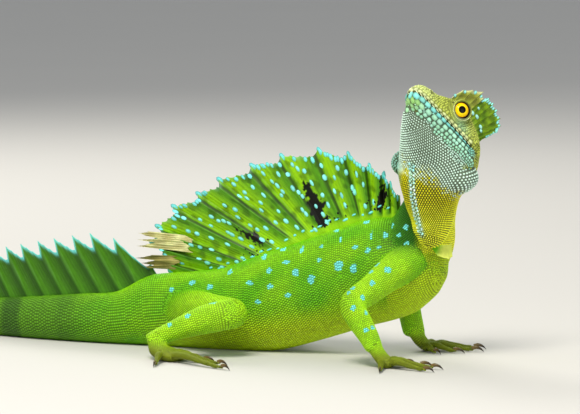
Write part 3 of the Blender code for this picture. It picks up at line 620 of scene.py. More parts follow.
points = vertex_array(skin.data)
normals = normal_array(skin.data)
local = in_head(points)
push = np.full(len(points), -COAT_DEPTH)
mouth = is_head * ramp(local[:, 0], -MOUTH_CORNER - 1.5, -MOUTH_CORNER + 1.0)
mouth = mouth * (1 - 0.6 * ramp(local[:, 0], -3, 0))
push += mouth * (0.35 * bump_on(local[:, 2] - 1.0, 0.6) - 1.1 * bump_on(local[:, 2] + 0.1, 0.55))
for side in (1, -1):
    flip = np.array([1, side, 1])
    push += is_head * 0.9 * bump_on(polyline_distance(local, np.array(BROW_RIDGE) * flip), 1.3)
    push += is_head * 0.7 * bump_on(polyline_distance(local, np.array(CHEEK_FOLD) * flip), 1.4)
    hollow = np.linalg.norm(local - np.array(SNOUT_HOLLOW) * flip, axis=1)
    push -= is_head * 0.8 * bump_on(hollow, 3.6)
    nostril = np.linalg.norm(local - np.array(NOSTRIL) * flip, axis=1)
    push += is_head * (0.55 * bump_on(nostril - 1.5, 0.55) - 1.5 * bump_on(nostril, 0.85))
    ear = np.linalg.norm(local - np.array(EAR) * flip, axis=1)
    push += is_head * (0.45 * bump_on(ear - 3.4, 0.7) - 0.9 * (ear < 3.0))
eye_distance = eye_axis_distance(points)
fold_window = np.clip((eye_distance - 5.7) / 0.6, 0, 1) * np.clip((10.2 - eye_distance) / 2.5, 0, 1)
push += is_head * 0.42 * fold_window * np.cos(2 * math.pi * (eye_distance - 6.1) / 1.55)
push += 0.8 * bump_on(polyline_distance(points, THROAT_KEEL), 1.5)
points = points + normals * push[:, None]
points[:, 2] = np.maximum(points[:, 2], COAT_DEPTH)
set_vertices(skin.data, points)
skin_points = vertex_array(skin.data)
skin_normals = normal_array(skin.data)
face_corners = np.empty(len(skin.data.loops), np.int32)
skin.data.loops.foreach_get("vertex_index", face_corners)
skin_faces = face_corners.reshape(-1, 4)
skin_tree = BVHTree.FromPolygons(skin_points.tolist(), skin_faces.tolist())
print("skin vertices", len(skin_points), "lowest", round(float(skin_points[:, 2].min()), 2))

# %% [markdown]
# Colour is worked out once, by one function, for the skin and for every scale.
# It knows the lime green back and legs, the yellower belly and face, the turquoise chin and upper throat,
# the olive lower throat, and the pale turquoise spots at their own named places.

# %% Colours and markings


def srgb(*values):
    """Linear colour of a swatch given from 0 to 255."""
    v = np.array(values, float) / 255
    return np.where(v <= 0.04045, v / 12.92, ((v + 0.055) / 1.055) ** 2.4)


LIME = srgb(102, 186, 4)
BRIGHT_LIME = srgb(156, 216, 8)
DEEP_GREEN = srgb(26, 96, 10)
BELLY_GREEN = srgb(184, 216, 20)
LEG_GREEN = srgb(172, 230, 22)
FACE_GREEN = srgb(184, 196, 80)
SNOUT_GREEN = srgb(206, 220, 138)
CROWN_OLIVE = srgb(128, 142, 34)
AQUA = srgb(128, 200, 180)
PALE_AQUA = srgb(176, 232, 212)
THROAT_AQUA = srgb(212, 242, 222)
JOWL_TEAL = srgb(92, 168, 146)
THROAT_OLIVE = srgb(212, 206, 8)
POUCH_YELLOW = srgb(244, 250, 50)
OLIVE_GAP = srgb(52, 62, 14)
SPOT_BLUE = srgb(122, 232, 226)
DIGIT_OLIVE = srgb(128, 142, 22)
TAIL_GREEN = srgb(92, 150, 24)
TAIL_BAND = srgb(54, 96, 26)

# The height where the throat's turquoise meets its yellow, at places along x, in mm.
THROAT_EDGE = ([104, 107, 117, 122, 129], [100, 98.6, 94.5, 88, 83])
# Pale spots of the flank: x, height, half length, half height, in mm. Both flanks carry the same ones.
FLANK_SPOTS = [
    (62.7, 46.8, 2.7, 2.2), (71.1, 46.1, 1.7, 2.3), (48.4, 39.4, 1.9, 2.3), (39.0, 42.5, 1.9, 1.9),
    (51.2, 49.3, 1.5, 1.1), (23.7, 42.6, 1.2, 1.7), (32.9, 47.2, 2.2, 0.9), (40.0, 53.5, 0.9, 1.5),
    (50.9, 55.7, 0.9, 0.9), (61.3, 59.7, 0.8, 1.3), (70.6, 56.4, 1.5, 1.1), (77.9, 55.0, 1.4, 1.6),
    (83.2, 56.7, 1.2, 0.9), (85.7, 62.6, 1.1, 1.6), (78.3, 62.8, 0.6, 2.1), (97.1, 67.3, 1.4, 1.6),
    (98.3, 58.8, 1.6, 1.4), (93.4, 63.0, 1.4, 0.9), (88.6, 67.5, 0.7, 1.6), (73.0, 68.4, 2.0, 0.9),
    (28.0, 53.0, 2.0, 1.1), (18.2, 48.6, 1.5, 1.3), (0.2, 40.5, 1.5, 1.1), (55.9, 63.7, 2.4, 1.0),
    (14.0, 36.0, 1.8, 1.2), (26.0, 35.0, 2.0, 1.2), (-9.0, 33.0, 1.8, 1.1), (-20.0, 34.5, 1.7, 1.1),
    (-31.0, 30.5, 1.6, 1.1), (-3.0, 25.5, 1.7, 1.1), (20.0, 27.0, 1.6, 1.1), (36.0, 31.0, 1.8, 1.2),
]
# Spots on the upper arm, forearm and thigh of the right side: a place on the skin and a radius.
# The left side mirrors them.
ARM_SPOTS = [
    (86.0, -26.1, 48.9, 1.4), (92.9, -29.3, 47.1, 1.5), (84.6, -31.1, 45.8, 1.3), (87.2, -37.1, 40.9, 1.3),
    (78.7, -41.6, 38.5, 1.2), (77.3, -44.5, 36.4, 1.0), (84.2, -42.9, 34.1, 1.2), (81.3, -49.1, 29.4, 1.2),
    (87.2, -46.3, 26.8, 1.1), (91.3, -48.0, 19.8, 1.1), (88.8, -51.1, 18.8, 1.0),
    (-6.0, -38.0, 30.0, 1.6), (4.0, -42.0, 27.5, 1.5), (-12.0, -33.0, 29.0, 1.4), (9.0, -44.0, 25.0, 1.3),
    (-7.0, -50.0, 22.0, 1.3), (-16.0, -52.0, 17.5, 1.2),
]


def mix(a, b, share):
    share = np.asarray(share, float)
    share = share[:, None] if share.ndim else share
    return a * (1 - share) + b * share


def ripple(points, size, seed):
    """Smooth random shade between 0 and 1 that varies over a few times the given size."""
    noise = np.zeros(len(points))
    draws = np.random.default_rng(seed)
    for _ in range(7):
        wave = unit(draws.normal(size=3)) * 2 * math.pi / (size * draws.uniform(0.7, 1.8))
        noise += np.sin(points @ wave + draws.uniform(0, 2 * math.pi))
    return np.clip(0.5 + noise / 6.0, 0, 1)


def spot_mask(points, names):
    """1 inside a pale spot, 0 outside, with an uneven rim."""
    wobble = 0.75 + 0.5 * ripple(points, 1.6, 5)
    mask = np.zeros(len(points))
    trunk = (names == "spine") | ((names == "neck") & (points[:, 2] < 72))
    for x, z, long, high in FLANK_SPOTS:
        far = ((points[:, 0] - x) / long) ** 2 + ((points[:, 2] - z) / high) ** 2
        mask = np.maximum(mask, trunk & (far < wobble) & (np.abs(points[:, 1]) > 3))
    limbs = np.char.find(names.astype(str), "leg") >= 0
    for x, y, z, size in ARM_SPOTS:
        for mirror in (1, -1):
            far = ((points - [x, y * mirror, z]) ** 2).sum(1) / size ** 2
            mask = np.maximum(mask, limbs & (far < 1.4 * wobble))
    return mask


def paint(points, names):
    """Linear colour of the coat at each place, with painted shade at the shoulders and the base of the neck.
    """
    x, y, z = points.T
    names = names.astype(str)
    colour = mix(LIME, BRIGHT_LIME, 0.55 * ripple(points, 14, 3))
    trunk = names == "spine"
    height = np.interp(x, [-42, 0, 60, 110], [12, 14, 22, 34])
    belly = ramp(z, height + 9, height - 7) * ramp(x, -60, -8)
    colour = np.where(trunk[:, None], mix(colour, BELLY_GREEN, belly), colour)
    bands = ramp(np.sin((x + 0.15 * y) * 2 * math.pi / 34.0), 0.2, 0.8) * ramp(x, -70, -130)
    tail_colour = mix(mix(colour, TAIL_GREEN, ramp(x, -40, -110)), TAIL_BAND, 0.75 * bands)
    colour = np.where(trunk[:, None], tail_colour, colour)
    chest = (names == "spine") & (x > 88)
    colour = np.where(chest[:, None], mix(colour, BELLY_GREEN, ramp(z, 56, 40)), colour)
    # Painted shade: the shoulders and the base of the neck darken toward deep green, partly the animal's own
    # deeper green and partly painted shade.
    shoulder_shade = 0.85 * ramp(x, 76, 97) * ramp(z, 50, 61)
    below_ridge = ramp(np.interp(x, [60, 90], [67, 77]) - z, 1, 7)
    colour = np.where(trunk[:, None], mix(colour, DEEP_GREEN, shoulder_shade * below_ridge), colour)
    neck = names == "neck"
    # The neck takes the same painted shade low on its back.
    shaded = mix(mix(LIME, DEEP_GREEN, shoulder_shade), BELLY_GREEN, ramp(x, 101, 107))
    gular = mix(POUCH_YELLOW, THROAT_OLIVE, ramp(z, 68, 84))
    shaded = mix(shaded, gular, ramp(x, 103, 108) * ramp(z, 53, 56))
    colour = np.where(neck[:, None], mix(shaded, FACE_GREEN, ramp(z, 90, 104)), colour)
    throat = names == "throat"
    edge = np.interp(x, *THROAT_EDGE) + 4 * (ripple(points, 16, 9) - 0.5)
    grains = np.abs(np.sin(points @ (12.99, 78.23, 37.72)) * 43758.5) % 1.0
    upper = ramp(z + 7 * (grains - 0.5), edge - 3, edge + 3)
    upper = np.maximum(upper, ramp(x, 103, 100) * ramp(z, 94, 99))
    throat_colour = mix(mix(POUCH_YELLOW, THROAT_OLIVE, ramp(z, 68, 84)), THROAT_AQUA, upper)
    throat_colour = mix(throat_colour, JOWL_TEAL, 0.75 * ramp(x, 101, 96) * ramp(z, 88, 93))
    throat_colour = mix(throat_colour, LIME, 0.75 * ramp(x + 0.4 * y, 84.0, 77.0))
    on_keel = bump_on(polyline_distance(points, THROAT_KEEL), 1.5)
    throat_colour = mix(throat_colour, PALE_AQUA, 0.95 * on_keel)
    colour = np.where(throat[:, None], throat_colour, colour)
    head = names == "head"
    forward, left, up = in_head(points).T
    face = mix(FACE_GREEN, SNOUT_GREEN, ramp(forward, -16, -4) * 0.7)
    face = mix(face, CROWN_OLIVE, 0.8 * ramp(up - 0.28 * np.minimum(-forward, 30), 7.5, 10.0))
    face = mix(face, AQUA, 0.5 * bump_on(np.hypot(forward + 29, up - 3.5), 5.0))
    # Painted shade under the brow: the face darkens toward olive brown above the eye.
    face = mix(face, srgb(112, 104, 38), 0.5 * bump_on(np.hypot(forward + 27, up - 17.0), 3.6))
    chin = mix(mix(AQUA, PALE_AQUA, 0.4 * ripple(points, 5, 21)), THROAT_AQUA, 0.75 * ramp(up, -2.5, -7))
    chin = mix(chin, POUCH_YELLOW, 0.85 * bump_on(np.hypot(left, (forward + 9.0) * 0.5), 2.3))
    chin = mix(chin, SNOUT_GREEN, 0.7 * ramp(forward, -4.5, -1.5))
    face = np.where((up < 0)[:, None], chin, face)
    face = mix(face, FACE_GREEN, ramp(-forward, 42, 48) * (up < 2))
    colour = np.where(head[:, None], face, colour)
    legs = np.char.find(names, "leg") >= 0
    leg_colour = mix(mix(LIME, LEG_GREEN, 0.4 + 0.6 * ripple(points, 9, 8)), LEG_GREEN, 0.5)
    # The roots of the legs take the body's colour, with the same painted shade at the shoulders.
    body_colour = mix(mix(LIME, BRIGHT_LIME, 0.55 * ripple(points, 14, 3)), DEEP_GREEN, shoulder_shade)
    leg_colour = mix(leg_colour, body_colour, ramp(np.abs(y), 26, 13))
    colour = np.where(legs[:, None], leg_colour, colour)
    paws = (np.char.find(names, "paw") >= 0) | (np.char.find(names, "digit") >= 0)
    digit_colour = mix(LEG_GREEN, DIGIT_OLIVE, ramp(z, 12, 4))
    colour = np.where(paws[:, None], digit_colour, colour)
    colour = mix(colour, SPOT_BLUE, spot_mask(points, names))
    return colour


def set_colours(thing, colours):
    """Keeps a colour for each point of a mesh, under the name that the materials read."""
    layer = thing.data.color_attributes.new("paint", "FLOAT_COLOR", "POINT")
    full = np.hstack([colours, np.ones((len(colours), 1))])
    layer.data.foreach_set("color", full.astype(np.float32).ravel())


def from_mark(place, mark):
    """Distance of places in head directions from a mark that both sides of the head carry."""
    mirrored = place * np.stack([np.ones(len(place)), np.sign(place[:, 1]), np.ones(len(place))], -1)
    return np.linalg.norm(mirrored - mark, axis=1)


HOLLOW_SHADE = srgb(18, 22, 8)
GAP_SHADE = 0.42
skin_names = np.array(OWNERS)[skin_owner]
skin_colour = paint(skin_points, skin_names) * GAP_SHADE
seams = (skin_names == "throat") | ((skin_names == "head") & (in_head(skin_points)[:, 2] < 1))
skin_colour = np.where(seams[:, None], 0.3 * skin_colour + 0.7 * OLIVE_GAP, skin_colour)
# Painted shadow: the nostrils and the line of the mouth are darkened as shade in these hollows, and a thin
# ring round each eye likewise, partly the lids' own dark edge.
place = in_head(skin_points)
mouth_shade = bump_on(place[:, 2] + 0.1, 0.5) * (place[:, 0] > -MOUTH_CORNER)
dark = np.maximum(bump_on(from_mark(place, NOSTRIL), 1.0), mouth_shade)
dark = np.maximum(dark, ramp(eye_distance, 4.6, 4.2))
skin_colour = mix(skin_colour, HOLLOW_SHADE, dark * (skin_names == "head"))
set_colours(skin, skin_colour)
print("flank spots", len(FLANK_SPOTS), "limb spots", 2 * len(ARM_SPOTS))

# %% [markdown]
# Materials share a few effects, so each effect is a small node group that is built once.
# Colour drift varies the painted colour, dry sheen varies the gloss, and fine grain gives a height for bump.

# %% Shared shader effects


def node_group(name, inputs, outputs):
    group = bpy.data.node_groups.new(name, "ShaderNodeTree")
    for label, kind, value in inputs:
        socket = group.interface.new_socket(name=label, in_out="INPUT", socket_type=kind)
        socket.default_value = value
    for label, kind in outputs:
        group.interface.new_socket(name=label, in_out="OUTPUT", socket_type=kind)
    return group, group.nodes.new("NodeGroupInput"), group.nodes.new("NodeGroupOutput")


def object_noise(group, scale_socket, detail):
    place = group.nodes.new("ShaderNodeTexCoord")
    noise = group.nodes.new("ShaderNodeTexNoise")
    noise.inputs["Detail"].default_value = detail
    group.links.new(place.outputs["Object"], noise.inputs["Vector"])
    group.links.new(scale_socket, noise.inputs["Scale"])
    return noise


drift, inside, outside = node_group(
    "colour_drift",
    [("Color", "NodeSocketColor", (1, 1, 1, 1)), ("Scale", "NodeSocketFloat", 300.0),
     ("Amount", "NodeSocketFloat", 0.3)],
    [("Color", "NodeSocketColor")],
)
noise = object_noise(drift, inside.outputs["Scale"], 3.0)
centred = drift.nodes.new("ShaderNodeMath")
centred.operation = "SUBTRACT"
centred.inputs[1].default_value = 0.5
drift.links.new(noise.outputs["Fac"], centred.inputs[0])
scaled = drift.nodes.new("ShaderNodeMath")
scaled.operation = "MULTIPLY_ADD"
scaled.inputs[2].default_value = 1.0
drift.links.new(centred.outputs[0], scaled.inputs[0])
drift.links.new(inside.outputs["Amount"], scaled.inputs[1])
tint = drift.nodes.new("ShaderNodeHueSaturation")
drift.links.new(inside.outputs["Color"], tint.inputs["Color"])
drift.links.new(scaled.outputs[0], tint.inputs["Value"])
drift.links.new(tint.outputs["Color"], outside.inputs["Color"])

sheen, inside, outside = node_group(
    "dry_sheen",
    [("Scale", "NodeSocketFloat", 500.0), ("Smooth", "NodeSocketFloat", 0.35),
     ("Rough", "NodeSocketFloat", 0.6)],
    [("Roughness", "NodeSocketFloat")],
)
noise = object_noise(sheen, inside.outputs["Scale"], 2.0)
spread = sheen.nodes.new("ShaderNodeMapRange")
spread.inputs["From Min"].default_value = 0.3
spread.inputs["From Max"].default_value = 0.7
sheen.links.new(noise.outputs["Fac"], spread.inputs["Value"])
sheen.links.new(inside.outputs["Smooth"], spread.inputs["To Min"])
sheen.links.new(inside.outputs["Rough"], spread.inputs["To Max"])
sheen.links.new(spread.outputs["Result"], outside.inputs["Roughness"])

grain, inside, outside = node_group(
    "fine_grain",
    [("Scale", "NodeSocketFloat", 1500.0), ("Depth", "NodeSocketFloat", 1.0)],
    [("Height", "NodeSocketFloat")],
)
noise = object_noise(grain, inside.outputs["Scale"], 4.0)
deep = grain.nodes.new("ShaderNodeMath")
deep.operation = "MULTIPLY"
grain.links.new(noise.outputs["Fac"], deep.inputs[0])
grain.links.new(inside.outputs["Depth"], deep.inputs[1])
grain.links.new(deep.outputs[0], outside.inputs["Height"])


def place_group(tree, group, **values):
    node = tree.nodes.new("ShaderNodeGroup")
    node.node_tree = group
    for label, value in values.items():
        node.inputs[label].default_value = value
    return node


def painted_material(name, drift_scale=400.0, drift_amount=0.35, gloss=(0.35, 0.6), grain_scale=1800.0,
                     bump=0.2, coat=0.0, specular=0.2):
    """Finish for a mesh that carries its own painted colour: drift, uneven sheen and a fine grain."""
    material = bpy.data.materials.new(name)
    material.use_nodes = True
    tree = material.node_tree
    shader = tree.nodes["Principled BSDF"]
    shader.inputs["Coat Weight"].default_value = coat
    shader.inputs["Coat Roughness"].default_value = 0.25
    shader.inputs["Specular IOR Level"].default_value = specular
    paint_layer = tree.nodes.new("ShaderNodeAttribute")
    paint_layer.attribute_name = "paint"
    varied = place_group(tree, drift, Scale=drift_scale, Amount=drift_amount)
    tree.links.new(paint_layer.outputs["Color"], varied.inputs["Color"])
    tree.links.new(varied.outputs["Color"], shader.inputs["Base Color"])
    glossy = place_group(tree, sheen, Scale=drift_scale * 1.7, Smooth=gloss[0], Rough=gloss[1])
    tree.links.new(glossy.outputs["Roughness"], shader.inputs["Roughness"])
    rough_height = place_group(tree, grain, Scale=grain_scale, Depth=1.0)
    bump_node = tree.nodes.new("ShaderNodeBump")
    bump_node.inputs["Strength"].default_value = bump
    bump_node.inputs["Distance"].default_value = 0.0002
    tree.links.new(rough_height.outputs["Height"], bump_node.inputs["Height"])
    tree.links.new(bump_node.outputs["Normal"], shader.inputs["Normal"])
    return material


skin_material = painted_material("skin_between_scales", bump=0.3, gloss=(0.5, 0.7))
skin.data.materials.append(skin_material)
skin.data.shade_smooth()
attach(skin, "root")
flesh = [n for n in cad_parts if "crest" not in n and "eye" not in n]
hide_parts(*flesh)
print("skin stands for", len(flesh), "nodes")

# %% [markdown]
# A scale is a low dome with a sunk rim, drawn once as a small template.
# Thousands of copies go into one mesh at a time, each turned to lie along the body and pressed on the skin.
# Real mesh catches the light at every scale, and painted shade darkens each rim while a painted highlight
# lightens each crown.

# %% The scale template and the mesh of many scales
PIECE_LIMIT = 190000
LAID = []


def scale_template(sides, point, rear_lift, rim_shade=0.55):
    """One scale: its points (lengthwise, sideways, height), its triangles, and the painted light and shade at
    each point.
    """
    angles = np.linspace(0, 2 * math.pi, sides, endpoint=False)
    c, s = np.cos(angles), np.sin(angles)
    reach = (np.abs(c) ** point + np.abs(s) ** point) ** (-1 / point)
    rim = np.stack([c * reach, s * reach, -0.35 + rear_lift * np.maximum(c, 0)], -1)
    crown = np.stack([c * reach * 0.58 + 0.08, s * reach * 0.58, np.full(sides, 0.78)], -1)
    template = np.vstack([rim, crown, [[0.1, 0.0, 1.0]]])
    # Painted light: the rim is darkened as shade, and the crown and top are lightened as a highlight.
    light = np.concatenate([np.full(sides, rim_shade), np.full(sides, 1.0), [1.12]])
    i = np.arange(sides)
    j = (i + 1) % sides
    faces = np.concatenate([
        np.stack([i, j, j + sides], -1), np.stack([i, j + sides, i + sides], -1),
        np.stack([i + sides, j + sides, np.full(sides, 2 * sides)], -1),
    ])
    return template, faces, light


def grow_coat(name, seeds, template, material, jitter=0.09):
    """Turns arrays of seeds into one or more meshes of scales, each with its bake map.

    Seeds: place, normal, way, half length, half width, height, colour and place on the unwrap.
    """
    shape, faces, light = template
    places, normals, ways, long, wide, high, colours, unwrap = seeds
    ways = unit(ways - (ways * normals).sum(1)[:, None] * normals)
    across = np.cross(normals, ways)
    per_piece = PIECE_LIMIT // len(faces)
    made = 0
    for number, first in enumerate(range(0, len(places), per_piece)):
        pick = slice(first, first + per_piece)
        count = len(places[pick])
        corner = places[pick][:, None] + (
            ways[pick][:, None] * (shape[:, 0] * long[pick][:, None])[..., None]
            + across[pick][:, None] * (shape[:, 1] * wide[pick][:, None])[..., None]
            + normals[pick][:, None] * (shape[:, 2] * high[pick][:, None])[..., None]
        )
        corner[..., 2] = np.maximum(corner[..., 2], 0.02)
        all_faces = (faces[None] + (np.arange(count) * len(shape))[:, None, None]).reshape(-1, 3)
        piece = mesh_from_arrays(f"{name}_{number + 1}", corner.reshape(-1, 3), all_faces)
        shade = 1 + jitter * rng.normal(size=(count, 1, 1))
        # The template's painted shade and highlight darken each scale's rim and lighten its crown.
        tones = colours[pick][:, None] * light[None, :, None] * shade
        set_colours(piece, np.clip(tones, 0, 1).reshape(-1, 3))
        bake = piece.data.uv_layers.new(name="OFBake")
        spots = unwrap[pick][:, None] + shape[None, :, :2] * 0.0015
        bake.uv.foreach_set("vector", spots.reshape(-1, 2)[all_faces.ravel()].astype(np.float32).ravel())
        piece.data.materials.append(material)
        piece.data.shade_smooth()
        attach(piece, "root")
        made += count
    LAID.append(places)
    big = long > 0.75
    for lengthwise in (-0.6, 0.0, 0.6):
        for sideways in (-0.6, 0.0, 0.6):
            spread = places + ways * lengthwise * long[:, None] + across * sideways * wide[:, None]
            LAID.append(spread[big])
    print(name, made, "scales", made * len(faces), "triangles")


def nearest_scale(points):
    """Distance from each point to the nearest scale so far; big plates count out to their corners."""
    laid = np.vstack(LAID)
    tree = KDTree(len(laid))
    for k, place in enumerate(laid.tolist()):
        tree.insert(place, k)
    tree.balance()
    return np.array([tree.find(place)[2] for place in points.tolist()])


bead = scale_template(8, 2.0, 0.05)
# The same bead with its rim painted darker still, as stronger painted shade round the beads of chin, throat
# and keel.
shaded_rim_bead = scale_template(8, 2.0, 0.05, rim_shade=0.3)
leaf = scale_template(6, 1.5, 0.75)
pebble = scale_template(6, 2.2, 0.1)
coat_material = painted_material("scales", gloss=(0.3, 0.5), bump=0.12, coat=0.02)
print("triangles in a bead", len(bead[1]), "in a leaf scale", len(leaf[1]))

# %% [markdown]
# Scales stand in rows round each tube, every second row shifted by half a scale, as on the real animal.
# A ray from the centreline finds the skin, so the rows follow every swelling of it.
# A scale grows only where the skin belongs to that tube, so the rows of leg and trunk don't cross.

# %% Rows of scales along the body


def row_seeds(tube, pitch, start, end, stretch=1.0, height=0.3, overlap=1.08, reach=2.2, halve=False):
    """Seeds of rows of scales round a tube; the pitch may change along it, and rows may halve in count."""
    length = tube.along[-1]
    found = []
    pitches = pitch if isinstance(pitch, tuple) else ([0, length], [pitch, pitch])
    widest = max(float(w + (u + d) / 2) for w, u, d in zip(tube.widths, tube.ups, tube.downs)) * math.pi
    base = max(6, round(widest / max(pitches[1])))
    along, row = start, 0
    while along < end:
        pitch = float(np.interp(along, *pitches))
        width, up, down = tube.at(np.array([along]))[1]
        girth = 2 * math.pi * math.sqrt((width[0] ** 2 + ((up[0] + down[0]) / 2) ** 2) / 2)
        halvings = max(0, round(math.log2(base * pitch / girth) - 0.19))
        columns = max(6, base // 2 ** halvings if halve else round(girth / pitch))
        angles = (np.arange(columns) + 0.5 * (row % 2)) * 2 * math.pi / columns
        stations = np.full(columns, along)
        centre = tube.at(stations)[0]
        steps = tube.offsets(stations, angles)
        span = min(7.0, 0.2 * length)
        ends = tube.at(np.clip([along - span, along + span], 0, length))[0]
        way = unit(ends[1] - ends[0])
        steps = steps - (steps @ way)[:, None] * way
        lengths = np.linalg.norm(steps, axis=1)
        for k in range(columns):
            hit, normal, _, far = skin_tree.ray_cast(Vector(centre[k]), Vector(steps[k] / lengths[k]))
            if hit is None or not 0.6 * lengths[k] < far < reach * lengths[k]:
                continue
            size = min(2 * math.pi * far / columns, 1.4 * pitch)
            found.append((*hit, *normal, *way, size, along / length, angles[k] / (2 * math.pi) % 1.0, pitch))
        along += pitch * 0.87 * stretch
        row += 1
    found = np.array(found)
    owner = np.array(OWNERS)[owners_of(found[:, :3])]
    found = found[owner == tube.name]
    places, normals, ways = found[:, :3], found[:, 3:6], found[:, 6:9]
    wide = found[:, 9] * 0.5 * overlap
    long = found[:, 12] * 0.5 * stretch * overlap
    high = np.full(len(found), height)
    names = np.full(len(found), tube.name)
    unwrap = 0.01 + 0.98 * found[:, 10:12]
    return [places, normals, ways, long, wide, high, paint(places, names), unwrap]


def joined(groups):
    """Seeds of several tubes together, each tube on its own strip of the unwrap."""
    for k, seeds in enumerate(groups):
        seeds[7] = np.stack([seeds[7][:, 0], (seeds[7][:, 1] + k) / len(groups)], -1)
    return [np.concatenate(parts) for parts in zip(*groups)]


spine = TUBES["spine"]
tail_start = spine.along[len(trunk_fine) - 1]
spine_end = spine.along[-1]
spine_pitch = ([0, tail_start - 20, tail_start + 60, spine_end], [1.25, 1.25, 1.6, 1.3])
seeds = row_seeds(spine, spine_pitch, 0.5, spine_end - 1, stretch=1.04)
grow_coat("scales_trunk_tail", seeds, leaf, coat_material)
neck = TUBES["neck"]
seeds = row_seeds(neck, 1.15, 1.0, neck.along[-1], overlap=0.96)
grow_coat("scales_neck", seeds, pebble, coat_material)
paw_names = [n for n in TUBES if "paw" in n or "digit" in n]
for label, members, pitch, start, stretch, slot in (
    ("scales_forelegs", ["foreleg_right", "foreleg_left"], 1.1, 2.0, 1.0, "skin"),
    ("scales_hindlegs", ["hindleg_right", "hindleg_left"], 1.2, 2.0, 1.0, "skin"),
    ("scales_digits", paw_names, 1.0, 0.4, 1.1, "digits"),
):
    seeds = joined([row_seeds(TUBES[n], pitch, start, TUBES[n].along[-1], stretch) for n in members])
    grow_coat(label, seeds, leaf, coat_material)

# %% [markdown]
# Scales of the head follow the mouth: big plates along the lips, smaller ones in rows further off.
# Each row is found by walking over the skin from the lip, so chin and crown are covered alike.
# A regular grid would run across the lips instead of along them.

# %% Plates and granules of the head
CREAM = srgb(218, 224, 172)
LIP_BLUE = srgb(126, 216, 206)
SHIELD_GREEN = srgb(156, 216, 178)
LIP = [(0.0, 0.0)] + [(-distance, width) for distance, width, _, _ in head_fine if distance < 52]
# Rows of plates: distance from the lip, length and half width. They shrink toward the corner of the mouth.
LOWER_ROWS = [(1.75, 4.0, 1.5), (4.6, 4.2, 1.4), (7.3, 3.1, 1.25), (9.6, 2.4, 1.05), (11.5, 1.9, 0.9),
              (13.1, 1.5, 0.78)]
UPPER_ROWS = [(0.7, 3.0, 0.34), (2.15, 2.9, 1.05), (4.0, 1.9, 0.85), (5.4, 1.5, 0.72)]
PLATE_SHRINK = ([0, 10, 50], [1.0, 1.0, 0.62])


def lip_walk(side, direction, step):
    """Paths over the skin from points along the lip to the middle of the crown or chin."""
    line = np.array(LIP) * [1, side]
    gaps = np.concatenate([[0], np.cumsum(np.linalg.norm(np.diff(line, axis=0), axis=1))])
    stations = np.arange(0.3, gaps[-1], step)
    paths = []
    for station in stations:
        f, l = (np.interp(station, gaps, line[:, k]) for k in (0, 1))
        hub = np.array([min(f, -7.0), 0.0, 0.4 * direction])
        start = unit(np.array([f, l, 0.0]) - hub)
        hits, normals = [], []
        for share in np.linspace(0.0, 1.0, 64):
            ray = unit(start * (1 - share) + np.array([0, 0, direction]) * share)
            hit, normal, _, far = skin_tree.ray_cast(Vector(head_points(hub)), Vector(HEAD_AXES @ ray))
            if hit is not None and far < 24:
                hits.append(hit)
                normals.append(normal)
        if len(hits) > 8:
            hits = np.array(hits)
            walked = np.concatenate([[0], np.cumsum(np.linalg.norm(np.diff(hits, axis=0), axis=1))])
            paths.append((station, f, hits, np.array(normals), walked))
    return paths


def lip_rows(side, direction, rows, last_pitch):
    """Seeds along rows at set distances from the lip, plates first and then granules up to the midline."""
    paths = lip_walk(side, direction, 0.5)
    stations = np.array([p[0] for p in paths])
    found = []
    distance, plate_end = rows[-1][0], rows[-1][0]
    reach = max(p[4][-1] for p in paths) + 0.4 * plate_end
    rows = list(rows)
    while distance < reach:
        distance += last_pitch * 0.93
        rows.append((distance, last_pitch, last_pitch * 0.52))
    for number, (distance, length, half) in enumerate(rows):
        station = 0.4 + 0.5 * length * (number % 2)
        while station < stations[-1]:
            shrink = float(np.interp(station, *PLATE_SHRINK)) if direction < 0 else 1.0
            fit = shrink if length > last_pitch else 1.0
            spot = distance - (1 - shrink) * min(distance, plate_end)
            _, f, hits, normals, walked = paths[int(np.argmin(abs(stations - station)))]
            if spot <= walked[-1] + 0.2 and not (number < 2 and f < -MOUTH_CORNER):
                place = [np.interp(spot, walked, hits[:, k]) for k in range(3)]
                normal = [np.interp(spot, walked, normals[:, k]) for k in range(3)]
                found.append((*place, *normal, length * fit * 0.5, half * fit, number, station, spot))
            station += length * fit
    return np.array(found)


def thin_out(places, radii, room):
    """Numbers of the seeds that are left when every one that stands too near an earlier one is dropped."""
    taken, kept = {}, []
    for k, place in enumerate(places):
        cell = tuple((place // 2.0).astype(int))
        near = [m for dx in (-1, 0, 1) for dy in (-1, 0, 1) for dz in (-1, 0, 1)
                for m in taken.get((cell[0] + dx, cell[1] + dy, cell[2] + dz), [])]
        if all(((places[m] - place) ** 2).sum() > (room * (radii[m] + radii[k])) ** 2 for m in near):
            taken.setdefault(cell, []).append(k)
            kept.append(k)
    return np.array(kept)


groups = []
for side in (1, -1):
    for direction, rows, pitch in ((-1, LOWER_ROWS, 1.25), (1, UPPER_ROWS, 1.15)):
        found = lip_rows(side, direction, rows, pitch)
        found = np.hstack([found, np.full((len(found), 1), direction)])
        groups.append(found)
found = np.vstack(groups)
names = np.array(OWNERS)[owners_of(found[:, :3])]
place = in_head(found[:, :3])
on_throat = (names == "throat") & (found[:, 10] < 9.0 - 0.14 * np.minimum(-place[:, 0], 40))
clear = (from_mark(place, NOSTRIL) > 1.5) & (from_mark(place, EAR) > 3.2)
keep = ((names == "head") | on_throat) & (eye_axis_distance(found[:, :3]) > 8.2) & clear
found = found[keep]
lip_line = (found[:, 8] == 0) & (found[:, 11] > 0)
lips, others = found[lip_line], found[~lip_line]
found = np.vstack([others[thin_out(others[:, :3], others[:, 6:8].mean(1), 0.72)], lips])
names = np.full(len(found), "head")
colours = paint(found[:, :3], names)
number, upper = found[:, 8], found[:, 11] > 0
labial = (number == 1) & upper
colours = np.where(labial[:, None], mix(SNOUT_GREEN, CREAM, 0.35), colours)
lip_line = (number == 0) & upper
colours = np.where(lip_line[:, None], CREAM, colours)
